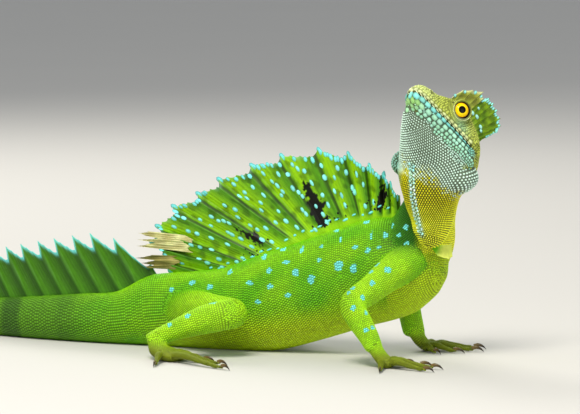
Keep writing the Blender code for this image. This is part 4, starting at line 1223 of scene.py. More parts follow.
lower_lip = (number == 0) & ~upper
colours = np.where(lower_lip[:, None], mix(LIP_BLUE, AQUA, 0.6 * ripple(found[:, :3], 6, 31)), colours)
shield = (number > 0) & (number < 5) & ~upper
shield_colour = mix(SHIELD_GREEN, PALE_AQUA, 0.6 * ripple(found[:, :3], 5, 32))
shield_colour = mix(shield_colour, srgb(148, 198, 92), 0.8 * ramp(in_head(found[:, :3])[:, 0], -10, -3))
colours = np.where(shield[:, None], shield_colour, colours)
ways = np.broadcast_to(-HEAD_AXES[:, 0], (len(found), 3))
from_lip = np.minimum(found[:, 10] / 34, 1)
unwrap = np.stack([0.02 + 0.96 * found[:, 9] / 60, 0.5 + found[:, 11] * 0.48 * from_lip], -1)
plate = (found[:, 6] > 0.9) | lip_line
lower = found[:, 11] < 0
slab = scale_template(8, 3.2, 0.05)
for label, chosen, slot, shape in (
    ("plates_lips", plate, "face", slab), ("granules_face", ~plate & ~lower, "face", pebble),
    ("granules_chin", ~plate & lower, "chin", shaded_rim_bead),
):
    pick = np.flatnonzero(chosen)
    high = np.where(found[pick, 6] > 0.9, 0.42, 0.3)
    seeds = [found[pick, :3], unit(found[pick, 3:6]), ways[pick], found[pick, 6], found[pick, 7], high,
             colours[pick], unwrap[pick]]
    grow_coat(label, seeds, shape, coat_material, jitter=0.07)

# %% [markdown]
# The throat carries round beads in long rows, which stand apart with dark skin between them.
# They are laid after the plates of the head, and only where no scale stands already.
# Where the throat narrows, a row has half as many beads, so that the lines which are left stay straight.

# %% Beads of the throat
THROAT_PITCH = ([0, 14, 34, 60, 78], [1.1, 1.3, 1.45, 1.3, 1.0])
throat = TUBES["throat"]
seeds = row_seeds(throat, THROAT_PITCH, 0.5, throat.along[-1], height=0.5, overlap=0.84, halve=True)
clear = nearest_scale(seeds[0]) > 0.8
grow_coat("scales_throat", [part[clear] for part in seeds], shaded_rim_bead, coat_material)

# %% [markdown]
# Round each eye the granules stand in rings, as on the folds of the real lids.
# A ray sent back along the eye's line of sight sets each granule on the skin.

# %% Rings of granules on the lids
LID_RING_RADII = (4.5, 5.2, 5.9, 6.7, 7.5)
# Painted light and shade on the lid folds: the rings are made lighter and darker in turn, and the innermost
# is darkest, partly the lids' own dark edge and partly painted shade round the eye.
LID_RING_LIGHT_AND_SHADE = (0.35, 1.1, 0.75, 1.05, 0.85)
LID_PITCH = 0.82
rings = []
for side in (1, -1):
    centre, look, ahead, lid_up = eye_frame(side)
    for number, radius in enumerate(LID_RING_RADII):
        count = round(2 * math.pi * radius / LID_PITCH)
        for k in range(count):
            angle = 2 * math.pi * (k + 0.5 * (number % 2)) / count
            out = ahead * math.cos(angle) + lid_up * math.sin(angle)
            hit, normal, _, far = skin_tree.ray_cast(Vector(centre + look * 14 + out * radius), Vector(-look))
            if hit is not None and far < 15:
                rings.append((*hit, *normal, *np.cross(look, out), number, angle, side, math.sin(angle)))
rings = np.array(rings)
number, angle, side = rings[:, 9], rings[:, 10], rings[:, 11]
pale_rim = (number < 2) & (rings[:, 12] < -0.2)
lid_colour = mix(paint(rings[:, :3], np.full(len(rings), "head")), CREAM, 0.6 * pale_rim)
lid_colour = lid_colour * np.array(LID_RING_LIGHT_AND_SHADE)[number.astype(int)][:, None]
size = np.where(number < 2, 0.36, 0.44)
unwrap = np.stack([0.02 + 0.96 * (angle % 6.283) / 6.283, 0.5 + side * (0.05 + 0.08 * number)], -1)
seeds = [rings[:, :3], rings[:, 3:6], rings[:, 6:9], size * 1.15, size, np.full(len(rings), 0.22), lid_colour,
         unwrap]
grow_coat("granules_lids", seeds, pebble, coat_material, jitter=0.06)

# %% [markdown]
# Rows from different tubes stop where they meet, which leaves bare places at shoulders, collar and chin.
# Every bare point of the skin is found by its distance to the nearest scale, and granules are put there.

# %% Granules in the bare places
far = nearest_scale(skin_points)
room = np.where(skin_names == "throat", 1.3, 0.85)
room = np.where((skin_names == "spine") & (skin_points[:, 0] < -30), 1.15, room)
place = in_head(skin_points)
open_places = (skin_names == "head") & (
    (from_mark(place, NOSTRIL) < 1.4) | (from_mark(place, EAR) < 3.0)
    | ((np.abs(place[:, 2]) < 0.45) & (place[:, 0] > -MOUTH_CORNER)) | (eye_distance < 4.3)
)
bare = np.flatnonzero((far > room) & ~open_places)
bare = bare[rng.permutation(len(bare))]
chosen = bare[thin_out(skin_points[bare], np.full(len(bare), 0.5), 0.86)]
rows = np.hstack([skin_points[chosen], skin_normals[chosen]])
ways = np.cross(rows[:, 3:6], np.broadcast_to((0.3, 0.1, 0.9), (len(rows), 3)))
ways = unit(ways + 0.01)
low, high = skin_points.min(0), skin_points.max(0)
unwrap = 0.01 + 0.98 * ((rows[:, [0, 2]] - low[[0, 2]]) / (high - low)[[0, 2]])
unwrap[:, 0] = 0.5 * unwrap[:, 0] + 0.5 * (rows[:, 4] > 0)
sizes = [np.full(len(rows), size) for size in (0.56, 0.54, 0.28)]
seeds = [rows[:, :3], rows[:, 3:6], ways, *sizes, paint(rows[:, :3], skin_names[chosen]), unwrap]
grow_coat("granules_between", seeds, pebble, coat_material)

# %% [markdown]
# A double line of bright beads runs down the keel of the throat.
# They are larger than their neighbours, and each is set a little out of line so that no row looks ruled.

# %% Beads of the keel
KEEL_SIDEWAYS = np.array([0.94, 0.342, 0])
keel_beads = []
for k, (a, b) in enumerate(zip(THROAT_KEEL[:-1], THROAT_KEEL[1:])):
    a, b = np.array(a), np.array(b)
    count = int(np.linalg.norm(b - a) / 1.75)
    for n in range(count):
        for offset in (-0.85, 0.85):
            offset = offset + rng.uniform(-0.2, 0.2)
            slip = 0.5 * (offset > 0) + rng.uniform(-0.12, 0.12)
            spot = a + (b - a) * (n + slip) / count + offset * KEEL_SIDEWAYS
            outside_throat = Vector(spot + np.array(THROAT_FACE) * 12)
            hit, normal, _, far = skin_tree.ray_cast(outside_throat, -Vector(THROAT_FACE))
            if hit is not None and far < 20:
                keel_beads.append((*hit, *normal, *unit(a - b), k + n / count, offset))
keel_beads = np.array(keel_beads)
bright = mix(srgb(232, 252, 246), srgb(140, 226, 226), ripple(keel_beads[:, :3], 3, 91))
unwrap = np.stack([keel_beads[:, 9] / 5 * 0.9 + 0.05, 0.5 + keel_beads[:, 10] * 0.2], -1)
grow_coat("beads_keel", [keel_beads[:, :3], keel_beads[:, 3:6], keel_beads[:, 6:9],
                         rng.uniform(0.75, 0.95, len(keel_beads)), rng.uniform(0.55, 0.72, len(keel_beads)),
                         np.full(len(keel_beads), 0.85), bright, unwrap],
          shaded_rim_bead, coat_material, jitter=0.1)

# %% [markdown]
# The sail, the tail's crest and the two crests of the head are thin skin held up by bony rays.
# A vane is drawn as many close columns from foot to margin, with a ridge at each ray and a crease behind it.
# The colour is kept at every point, so creases, dark patches and margin follow the pleats exactly.

# %% Pleated vanes
VANE_HALF_THICKNESS = 0.32
RAY_HALF_THICKNESS = 0.55
PROFILE = [0.0, 0.2, 0.62, 1.0]
VANE_YELLOW = srgb(150, 208, 12)
VANE_GREEN = srgb(84, 152, 20)
VANE_DARK = srgb(26, 60, 8)


def vane(name, feet, tips, lateral, pleat, notch, fine, rows, colour_of, teeth=0.02, material=None):
    """Closed thin vane; colour_of gets the points, the share between two rays and the share of height."""
    feet, tips, lateral = np.asarray(feet), np.asarray(tips), unit(lateral)
    gaps = len(feet) - 1
    place = np.linspace(0, gaps, gaps * fine + 1)
    k = np.minimum(place.astype(int), gaps - 1)
    share = place - k
    foot = feet[k] * (1 - share)[:, None] + feet[k + 1] * share[:, None]
    tip = tips[k] * (1 - share)[:, None] + tips[k + 1] * share[:, None]
    reach = np.interp(share, PROFILE, [1, notch, 0.5 + 0.5 * notch, 1])
    reach = reach - teeth * np.abs(np.sin(share * math.pi * 4)) ** 0.6
    wave = np.interp(share, [0, 0.1, 0.2, 0.4, 0.62, 0.85, 1], [1, -0.1, -0.7, -0.3, -0.05, 0.55, 1])
    thicknesses = [RAY_HALF_THICKNESS, VANE_HALF_THICKNESS, VANE_HALF_THICKNESS, RAY_HALF_THICKNESS]
    half = np.interp(share, [0, 0.1, 0.9, 1], thicknesses)
    along = np.linspace(0, 1, rows + 1)
    middle = foot[:, None] + ((tip - foot) * reach[:, None])[:, None] * along[None, :, None]
    middle = middle + lateral * (pleat * wave[:, None] * np.minimum(1, 1.6 * along))[..., None]
    thin = lateral * (half[:, None] * (1 - 0.35 * along))[..., None]
    rings = np.concatenate([middle + thin, (middle - thin)[:, ::-1]], axis=1)
    points, faces = loft_arrays(rings)
    piece = mesh_from_arrays(name, points, faces)
    both = np.broadcast_to(np.concatenate([along, along[::-1]]), rings.shape[:2]).ravel()
    shares = np.broadcast_to(share[:, None], rings.shape[:2]).ravel()
    colours = colour_of(rings.reshape(-1, 3), shares, both)
    set_colours(piece, np.vstack([colours, colours[:1], colours[-1:]]))
    lines = piece.data.uv_layers.new(name="rays")
    u = np.concatenate([np.broadcast_to(place[:, None], rings.shape[:2]).ravel(), [0, gaps]])
    v = np.concatenate([both, [0.5, 0.5]])
    lines.uv.foreach_set("vector", np.stack([u, v], -1)[faces.ravel()].astype(np.float32).ravel())
    piece.data.materials.append(material or vane_material)
    piece.data.shade_smooth()
    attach(piece, "root")
    print(name, len(faces), "triangles")
    return piece, foot, foot + (tip - foot) * reach[:, None]


striations, inside, outside = node_group(
    "ray_striations",
    [("Lines", "NodeSocketFloat", 9.0), ("Depth", "NodeSocketFloat", 1.0)],
    [("Height", "NodeSocketFloat")],
)
sheet_place = striations.nodes.new("ShaderNodeUVMap")
sheet_place.uv_map = "rays"
wave_node = striations.nodes.new("ShaderNodeTexWave")
wave_node.inputs["Distortion"].default_value = 1.5
wave_node.inputs["Detail"].default_value = 2.0
striations.links.new(sheet_place.outputs["UV"], wave_node.inputs["Vector"])
striations.links.new(inside.outputs["Lines"], wave_node.inputs["Scale"])
deep = striations.nodes.new("ShaderNodeMath")
deep.operation = "MULTIPLY"
striations.links.new(wave_node.outputs["Fac"], deep.inputs[0])
striations.links.new(inside.outputs["Depth"], deep.inputs[1])
striations.links.new(deep.outputs[0], outside.inputs["Height"])

vane_material = painted_material("crest_skin", gloss=(0.35, 0.6), bump=0.15)
tree = vane_material.node_tree
lined = place_group(tree, striations, Lines=2.2, Depth=1.0)
line_bump = tree.nodes.new("ShaderNodeBump")
line_bump.inputs["Strength"].default_value = 0.35
line_bump.inputs["Distance"].default_value = 0.0003
old = tree.nodes["Principled BSDF"].inputs["Normal"].links[0].from_socket
tree.links.new(lined.outputs["Height"], line_bump.inputs["Height"])
tree.links.new(old, line_bump.inputs["Normal"])
tree.links.new(line_bump.outputs["Normal"], tree.nodes["Principled BSDF"].inputs["Normal"])
print("crest material", len(tree.nodes), "nodes")

# %% [markdown]
# The sail stands on fifteen rays, and each ray has its own place, length and lean.
# Its pale spots and three black patches lie where they are seen on the real sail.

# %% The sail on the back
# Rays: x and height where each leaves the back, its length, and its lean in degrees from straight ahead.
SAIL_RAYS = [
    (89.5, 77.0, 5.0, 100.0), (85.2, 75.4, 13.0, 97.0), (80.3, 73.3, 19.9, 90.0),
    (75.5, 72.6, 24.8, 97.6), (70.1, 71.0, 33.0, 106.3), (63.1, 68.6, 40.3, 117.2),
    (51.8, 65.2, 45.1, 127.6), (45.2, 62.9, 49.5, 138.9), (38.2, 59.6, 56.0, 149.9),
    (30.0, 55.2, 57.5, 154.6), (21.8, 51.4, 61.3, 159.5), (14.7, 48.0, 61.0, 166.6),
    (8.1, 45.2, 56.3, 171.8), (1.5, 41.9, 39.0, 177.4), (-26.0, 36.0, 12.0, 166.0),
]
SAIL_ROOT = 5.5
SAIL_PLEAT = 2.0
BLACK_PATCHES = [
    [(37, 89), (40, 86), (45, 80), (49, 77), (48, 72), (51, 67), (52, 65), (47, 64), (44, 68), (41, 72),
     (41, 76), (38, 79), (38, 83), (36, 87)],
    [(79, 89), (82, 86), (82, 76), (80, 74), (77, 74), (77, 81), (79, 84)],
    [(-1, 64), (5, 61), (7, 60.5), (12, 60), (14, 57), (16, 54), (15, 53), (12, 56), (8, 57), (5, 59)],
]
SAIL_SPOTS = [
    (15, 91), (20, 87), (23, 85), (26, 82), (25, 80), (10, 84), (16, 80), (14, 76), (14, 72), (24, 72),
    (22, 66), (28, 67), (34, 64), (5, 81), (-1, 85), (2, 79), (6, 78), (-6, 74), (0, 72), (1, 68),
    (-20, 66), (-13, 68), (-9, 66), (-14, 63), (-28, 67), (-6, 66), (-3, 65), (-4, 60), (-2, 59), (3, 57),
    (-4, 54), (9, 53), (8, 64), (12, 62), (17, 63), (20, 56), (15, 57), (-24, 53), (-13, 57), (-21, 59),
    (-26, 60), (-34, 62), (-19, 52), (-13, 51), (-9, 46), (-20, 46), (-15, 44), (-7, 42), (-34, 44),
    (-30, 43), (4, 47), (1, 45), (31, 96), (34, 94), (24, 91), (29, 91), (38, 93), (47, 96), (49, 90),
    (42, 87), (32, 84), (35, 82), (37, 80), (37, 73), (39, 71), (44, 63), (48, 81), (51, 76), (44, 75),
    (48, 71), (50, 67), (56, 95), (54, 90), (54, 83), (58, 81), (60, 76), (64, 85), (65, 83), (66, 92),
    (61, 93), (70, 87), (71, 76), (75, 78), (73, 94), (77, 93),
]
# How yellow the sail's skin is from one ray to the next: paler along each ray, and the two faces of each
# pleat painted lit and shaded in turn.
RAY_YELLOW_AND_PLEAT_LIGHT = ([0, 0.1, 0.25, 0.5, 0.75, 1], [0.8, 0.2, 0.0, 0.35, 0.9, 1])
MARGIN_BLUE = srgb(124, 230, 230)
PATCH_BLACK = srgb(12, 13, 8)


def inside_polygon(x, z, corners):
    crossed = np.zeros(len(x), bool)
    for (ax, az), (bx, bz) in zip(corners, corners[1:] + corners[:1]):
        between = (az > z) != (bz > z)
        crossed ^= between & (x < (bx - ax) * (z - az) / (bz - az + 1e-9) + ax)
    return crossed


def sail_colour(points, share, high):
    streak = 0.5 + 0.5 * np.sin(share * 40 + 3 * ripple(points, 9, 41))
    # Painted light and shade on the faces of the pleats, with the rays' own paler yellow.
    colour = mix(VANE_GREEN, VANE_YELLOW, np.interp(share, *RAY_YELLOW_AND_PLEAT_LIGHT))
    colour = mix(colour, VANE_DARK, 0.35 * streak * ramp(share, 0.9, 0.3))
    colour = mix(colour, VANE_DARK, 0.5 * ramp(ripple(points, 5, 47), 0.55, 0.95) * ramp(high, 0.1, 0.3))
    # Painted shade in the crease just behind each ray.
    colour = mix(colour, srgb(10, 26, 2), bump_on(share - 0.12, 0.045) * ramp(high, 0.08, 0.25))
    colour = mix(colour, VANE_YELLOW, 0.8 * ramp(high, 0.2, 0.1))
    colour = mix(colour, PALE_AQUA, 0.2 * ramp(high, 0.94, 1.0) * ripple(points, 5, 44))
    wobble = np.stack([ripple(points, 2.6, 51), ripple(points, 2.6, 52)], -1) * 2.4 - 1.2
    for patch in BLACK_PATCHES:
        black = inside_polygon(points[:, 0] + wobble[:, 0], points[:, 2] + wobble[:, 1], patch)
        colour = np.where(black[:, None], PATCH_BLACK, colour)
    return colour


feet, tips = [], []
for x, z, length, lean in SAIL_RAYS:
    way = np.array([math.cos(math.radians(lean)), 0.0, math.sin(math.radians(lean))])
    feet.append(np.array([x, 0.0, z - SAIL_ROOT]))
    tips.append(np.array([x, 0.0, z]) + way * length)
sail, foot, edge = vane("sail", feet, tips, (0, 1, 0), SAIL_PLEAT, 0.93, 20, 60, sail_colour)
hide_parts("dorsal_crest")
sail_tree = BVHTree.FromObject(sail, bpy.context.evaluated_depsgraph_get())

# %% [markdown]
# The sail's pale spots stand out from its skin a little, so they are beads pressed on both of its faces.
# A ray sent sideways finds the sail at each spot, and most beads lie along the nearest bony ray.

# %% Spots, margin and specks of the sail


def face_seeds(tree, flat_places, sizes, way_of, colour):
    """Seeds of spots pressed on both faces of a vane that stands in the plane y = 0."""
    seeds = [[], [], [], [], [], [], [], []]
    for (x, z), (long, wide) in zip(flat_places, sizes):
        for face in (1, -1):
            hit, normal, _, _ = tree.ray_cast(Vector((x, -face * 30, z)) * MM, Vector((0, face, 0)))
            if hit is None:
                continue
            outward = np.array(normal) if normal[1] * face < 0 else -np.array(normal)
            rows = (np.array(hit) / MM, outward, way_of(x, z), long, wide, 0.3, colour,
                    ((x + 60) / 200, 0.25 + 0.5 * (face > 0) + z / 800))
            for part, value in zip(seeds, rows):
                part.append(value)
    return [np.array(part, float) for part in seeds]


def sail_way(x, z):
    """The way up the nearest ray of the sail."""
    starts, ends = np.array(feet), np.array(tips)
    spot = np.array([x, 0, z])
    t = np.clip(((spot - starts) * (ends - starts)).sum(1) / ((ends - starts) ** 2).sum(1), 0, 1)
    near = int(np.argmin(np.linalg.norm(starts + t[:, None] * (ends - starts) - spot, axis=1)))
    return unit(ends[near] - starts[near])


sizes = [(rng.uniform(1.5, 2.2), rng.uniform(1.0, 1.35)) for _ in SAIL_SPOTS]
seeds = face_seeds(sail_tree, SAIL_SPOTS, sizes, sail_way, srgb(140, 236, 232))
margin, margin_sizes = [], []
walked = np.concatenate([[0], np.cumsum(np.linalg.norm(np.diff(edge, axis=0), axis=1))])
for station in np.arange(0.5, walked[-1], 2.3):
    k = int(np.argmin(abs(walked - station)))
    if edge[k][0] < 48 and rng.uniform() < 0.6:
        continue
    inward = unit(foot[k] - edge[k])
    spot = edge[k] + inward * rng.uniform(0.5, 1.6)
    margin.append((spot[0], spot[2]))
    margin_sizes.append((rng.uniform(1.4, 2.1), rng.uniform(0.9, 1.3)))
for end in tips:
    spot = end - sail_way(end[0], end[2]) * 1.5
    margin.append((spot[0], spot[2]))
    margin_sizes.append((2.6, 1.6))
more = face_seeds(sail_tree, margin, margin_sizes, sail_way, MARGIN_BLUE)
ray_x, ray_z = np.array([(x, z) for x, z, _, _ in SAIL_RAYS][::-1]).T
dashes = [(x, float(np.interp(x, ray_x, ray_z)) + rng.uniform(0.5, 3.5)) for x in np.arange(-18, 87, 4.6)]
dash_sizes = [(rng.uniform(1.0, 1.9), rng.uniform(0.55, 0.8)) for _ in dashes]
dash_way = np.array([0.9, 0, 0.42])
dash_seeds = face_seeds(sail_tree, dashes, dash_sizes, lambda x, z: dash_way, MARGIN_BLUE)
specks = []
# Black specks at the foot of each dark patch: the middle of the cluster along x, its spread and its count.
for middle, spread, count in ((12.0, 4.0, 14), (50.0, 5.0, 22), (79.0, 4.0, 16)):
    for x in rng.normal(middle, spread, count):
        specks.append((x, float(np.interp(x, ray_x, ray_z)) + rng.uniform(1.0, 8.0)))
speck_sizes = [(rng.uniform(0.4, 0.9), rng.uniform(0.35, 0.6)) for _ in specks]
speck_seeds = face_seeds(sail_tree, specks, speck_sizes, sail_way, srgb(14, 15, 8))
seeds = [np.concatenate(parts) for parts in zip(seeds, more, dash_seeds, speck_seeds)]
grow_coat("spots_sail", seeds, bead, coat_material, jitter=0.05)

# %% [markdown]
# The tail's crest is made the same way and dies out along the tail.
# It is two pieces, one behind the other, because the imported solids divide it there.

# %% Tail crest
TAIL_CREST_START = -4.0
TAIL_CREST_SPLIT = 109.0
TAIL_CREST_END = 250.0
TAIL_CREST_HEIGHT = 36.0
TAIL_CREST_LEAN = 122.0
TAIL_CREST_PITCH = 11.0


def tail_crest_height(along):
    rise = min(1.0, (along - TAIL_CREST_START) / 14.0)
    share = (along - TAIL_CREST_START) / (TAIL_CREST_END - TAIL_CREST_START)
    return TAIL_CREST_HEIGHT * (0.35 + 0.65 * rise) * max(0.06, 1 - share ** 1.6)


def tail_crest_colour(points, share, high):
    streak = 0.5 + 0.5 * np.sin(share * 34 + 3 * ripple(points, 9, 61))
    # Painted shade in the crease just behind each ray, growing lighter toward the next ray, as on the sail.
    colour = mix(VANE_DARK, VANE_GREEN, np.interp(share, [0, 0.15, 0.6, 1], [0.8, 0.1, 0.5, 0.9]))
    colour = mix(colour, VANE_DARK, 0.35 * streak)
    return mix(colour, SPOT_BLUE, 0.7 * ramp(high, 0.9, 0.99))


x, z, width, up, down = TRUNK[-2]
rows = np.array([(x, 0.0, z, width, up, down)] + tail_path())
steps = np.array([TRUNK[-1][0] - x, *np.linspace(0, TAIL_LENGTH, TAIL_STATIONS + 1)])
lean = math.radians(TAIL_CREST_LEAN)
for name, start, end in (("tail_crest_front", TAIL_CREST_START, TAIL_CREST_SPLIT),
                         ("tail_crest_rear", TAIL_CREST_SPLIT + 1.2, TAIL_CREST_END)):
    count = int(round((end - start) / TAIL_CREST_PITCH)) + 1
    roots, peaks = [], []
    for along in np.linspace(start, end, count):
        x, y, z, _, depth, _ = [np.interp(along, steps, rows[:, k]) for k in range(6)]
        ahead = np.array([np.interp(along + 1, steps, rows[:, k]) for k in range(2)]) - np.array([x, y])
        back_way = np.array([*unit(ahead), 0.0])
        root = np.array([x, y, z + depth - SAIL_ROOT])
        way = -back_way * math.cos(lean) + np.array([0, 0, math.sin(lean)])
        roots.append(root)
        peaks.append(root + way * (tail_crest_height(along) + SAIL_ROOT))
    crest, _, _ = vane(name + "_skin", roots, peaks, (0, 1, 0), SAIL_PLEAT * 0.6, 0.78, 12, 24,
                       tail_crest_colour)
    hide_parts(name)

# %% [markdown]
# Dry skin that is being shed hangs at the sail's rear in two straw-coloured flakes.
# Each flake is a vane of its own with a ragged edge, so that it stands off the sail.

# %% Shed skin
shed_material = painted_material("shed_skin", gloss=(0.6, 0.8), bump=0.5, drift_amount=0.6)
SHED_FLAKES = [
    ("shed_skin_upper", (-28.5, 58.0), (-26.5, 49.0), -24.0, 1.5, (223, 222, 163), (170, 160, 96)),
    ("shed_skin_lower", (-35.0, 47.0), (-34.0, 40.0), -16.5, 0.2, (158, 150, 84), (92, 96, 40)),
]
for name, high_end, low_end, reach_back, rise, light_tone, dark_tone in SHED_FLAKES:
    roots, peaks = [], []
    for k in range(9):
        share = k / 8
        root = np.array([high_end[0] + (low_end[0] - high_end[0]) * share + rng.uniform(-1.0, 5.0), -0.5,
                         high_end[1] + (low_end[1] - high_end[1]) * share])
        roots.append(root)
        ragged = 5.0 * math.sin(2.3 * k + rise) + rng.uniform(-2.0, 2.0)
        peaks.append(root + np.array([reach_back + ragged, -2.2 - 0.6 * math.sin(5 * share), rise]))
    light_tone, dark_tone = srgb(*light_tone), srgb(*dark_tone)
    vane(name, roots, peaks, (0, 1, 0), 0.7, 0.95, 8, 24,
         lambda points, share, high: mix(light_tone, dark_tone, 0.75 * ripple(points * [0.3, 1, 1], 2.4, 71)),
         teeth=0.05, material=shed_material)

# %% [markdown]
# Under the throat's pouch a small loose flap of skin hangs over the chest, pale on its outer face.
# It is a vane too, with its foot along the pouch and its tips drawn together into one corner.

# %% The flap over the collar
FLAP_FOOT = [(110.2, -14.6, 58.4), (113.2, -10.0, 59.2), (115.7, -5.6, 60.2), (117.0, -1.0, 61.2)]
FLAP_TIPS = [(115.0, -16.7, 53.6), (117.6, -12.9, 52.0), (119.0, -10.1, 51.2), (119.7, -6.9, 52.4)]


def flap_colour(points, share, high):
    along = ramp(points[:, 0], 113, 116.5)
    return mix(mix(LIME, BELLY_GREEN, along), mix(POUCH_YELLOW, CREAM, 0.35), 0.8 * along)


vane("collar_flap", FLAP_FOOT, FLAP_TIPS, (0.34, -0.94, 0.0), 0.5, 0.98, 12, 20, flap_colour)

# %% [markdown]
# Two crests stand on the head, a low flap over the brow and a tall round one behind it.

# %% Crests of the head
BROW_CREST_FOOT = [(-22.0, 16.0), (-34.0, 16.0)]
BROW_CREST_MARGIN = [(-23.6, 21.0), (-25.5, 26.2), (-29.2, 30.3), (-33.6, 34.4), (-38.4, 37.6), (-39.6, 34.6)]
MAIN_CREST_FOOT = [(-33.8, 16.2), (-49.5, 8.5)]
MAIN_CREST_MARGIN = [
    (-40.0, 34.4), (-43.5, 38.2), (-48.2, 37.8), (-53.2, 37.0), (-57.7, 34.8), (-58.6, 31.0), (-56.4, 26.0),
    (-53.6, 21.4),
]
# Pale spots low on the tall crest: forward, up and half length.
CREST_SPOTS = [
    (-38.9, 23.5, 1.5), (-42.5, 24.4, 1.5), (-47.8, 22.5, 1.4), (-49.4, 21.2, 1.1), (-40.4, 28.3, 1.0),
]


def head_crest_colour(points, share, high):
    colour = mix(srgb(92, 132, 12), srgb(138, 176, 26), ripple(points, 5, 81))
    colour = mix(colour, srgb(30, 52, 6), 0.5 * ripple(points, 3, 82))
    return mix(colour, FACE_GREEN, 0.6 * ramp(high, 0.45, 0.25) + 0.35 * ramp(high, 0.93, 1.0))


def brow_crest_colour(points, share, high):
    colour = mix(FACE_GREEN, CROWN_OLIVE, 0.3 + 0.5 * ripple(points, 4, 83))
    # Painted shade under the curled edge: a dark band just below the margin.
    colour = mix(colour, srgb(84, 78, 24), 0.6 * bump_on(high - 0.72, 0.12))
    return mix(colour, srgb(216, 220, 156), 0.8 * ramp(high, 0.86, 0.96))


left = HEAD_AXES[:, 1]
beads = [[], [], [], [], [], [], [], []]
for name, foot_line, outline, count, bead_step, tones in (
    ("brow_crest", BROW_CREST_FOOT, BROW_CREST_MARGIN, 5, 8.0, brow_crest_colour),
    ("head_crest", MAIN_CREST_FOOT, MAIN_CREST_MARGIN, 9, 1.9, head_crest_colour),
):
    edge = smooth_rows(outline, count)
    roots, peaks = [], []
    for k, (forward, up) in enumerate(edge):
        share = k / (count - 1)
        base = np.array(foot_line[0]) * (1 - share) + np.array(foot_line[1]) * share
        roots.append(head_points((base[0], 0.0, base[1] - 2.5)))
        peaks.append(head_points((forward, 0.0, up)))
    crest, foot, rim = vane(name + "_skin", roots, peaks, left, 0.35, 0.95, 14, 40, tones, teeth=0.01)
    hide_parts(name)
    walked = np.concatenate([[0], np.cumsum(np.linalg.norm(np.diff(rim, axis=0), axis=1))])
    for station in np.arange(1.0, walked[-1], bead_step):
        k = int(np.argmin(abs(walked - station)))
        inward = unit(foot[k] - rim[k])
        for face in (1, -1):
            spot = rim[k] + inward * 0.8 + left * face * 0.3
            value = (spot, left * face, -inward, rng.uniform(1.0, 1.5), rng.uniform(0.6, 0.95), 0.35,
                     srgb(150, 236, 226), (station / 80, 0.3 + 0.4 * (face > 0)))
            for part, item in zip(beads, value):
                part.append(item)
for forward, up, size in CREST_SPOTS:
    for face in (1, -1):
        spot = head_points((forward, 0.62 * face, up))
        value = (spot, left * face, HEAD_AXES[:, 0], size, size * 0.75, 0.4, srgb(170, 236, 222),
                 ((forward + 60) / 60, 0.3 + 0.4 * (face > 0) + up / 400))
        for part, item in zip(beads, value):
            part.append(item)
seeds = [np.array(part, float) for part in beads]
grow_coat("beads_crests", seeds, bead, coat_material, jitter=0.05)

# %% [markdown]
# The eye is a glossy ball with a golden iris, an orange rim and a round black pupil.
# Rings of points run out from the pupil, and each ring takes the colour of its part of the iris.

# %% Eyes
PUPIL_ANGLE = 21.0
PUPIL_BLACK = srgb(4, 4, 4)
EYE_BACK = srgb(30, 20, 8)
eye_material = painted_material("eye", gloss=(0.3, 0.4), bump=0.0, drift_amount=0.15, coat=0.2, specular=0.02)
eye_material.node_tree.nodes["Principled BSDF"].inputs["Coat Roughness"].default_value = 0.03
for side, label in ((1, "left"), (-1, "right")):
    centre = head_points(np.array(EYE) * [1, side, 1])
    look = unit(HEAD_AXES @ (np.array(IRIS_LOOK) * [1, side, 1]))
    lid_up = unit(np.cross(look, np.cross(HEAD_AXES[:, 2], look)))
    ahead = np.cross(lid_up, look)
    tilts = np.concatenate([np.linspace(1.5, 60, 48), np.linspace(64, 176, 22)])
    turns = np.linspace(0, 2 * math.pi, 96, endpoint=False)
    rings, colours = [], []
    for tilt in tilts:
        angle = math.radians(tilt)
        flat = ahead[None] * np.cos(turns)[:, None] + lid_up[None] * np.sin(turns)[:, None]
        rings.append(centre + (EYE_RADIUS - 0.05) * (look * math.cos(angle) + flat * math.sin(angle)))
        streak = 0.5 + 0.5 * np.sin(turns * 23 + 2 * np.sin(turns * 7)) * np.sin(turns * 11)
        iris = mix(srgb(250, 214, 0), srgb(226, 168, 0), 0.5 * streak)
        iris = mix(iris, srgb(216, 116, 2), 0.7 * ramp(tilt, 38.5, 42.5))
        iris = mix(iris, srgb(255, 226, 40), 0.7 * bump_on(tilt - PUPIL_ANGLE - 3, 3.0))
        tone = mix(PUPIL_BLACK, iris, ramp(tilt, PUPIL_ANGLE - 1, PUPIL_ANGLE + 1))
        colours.append(mix(tone, EYE_BACK, ramp(tilt, 42, 45)))
    front, back = centre + look * EYE_RADIUS * 0.995, centre - look * EYE_RADIUS * 0.99
    points, faces = loft_arrays(rings, front, back)
    eye = mesh_from_arrays(f"eyeball_{label}", points, faces)
    set_colours(eye, np.vstack([np.vstack(colours), PUPIL_BLACK[None], EYE_BACK[None]]))
    eye.data.materials.append(eye_material)
    eye.data.shade_smooth()
    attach(eye, "root")
    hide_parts("eye_" + label)
print("eye radius", EYE_RADIUS)

# %% [markdown]
# Claws are dark horn: slender hooks, glossier than the scales and darkest at the tip.

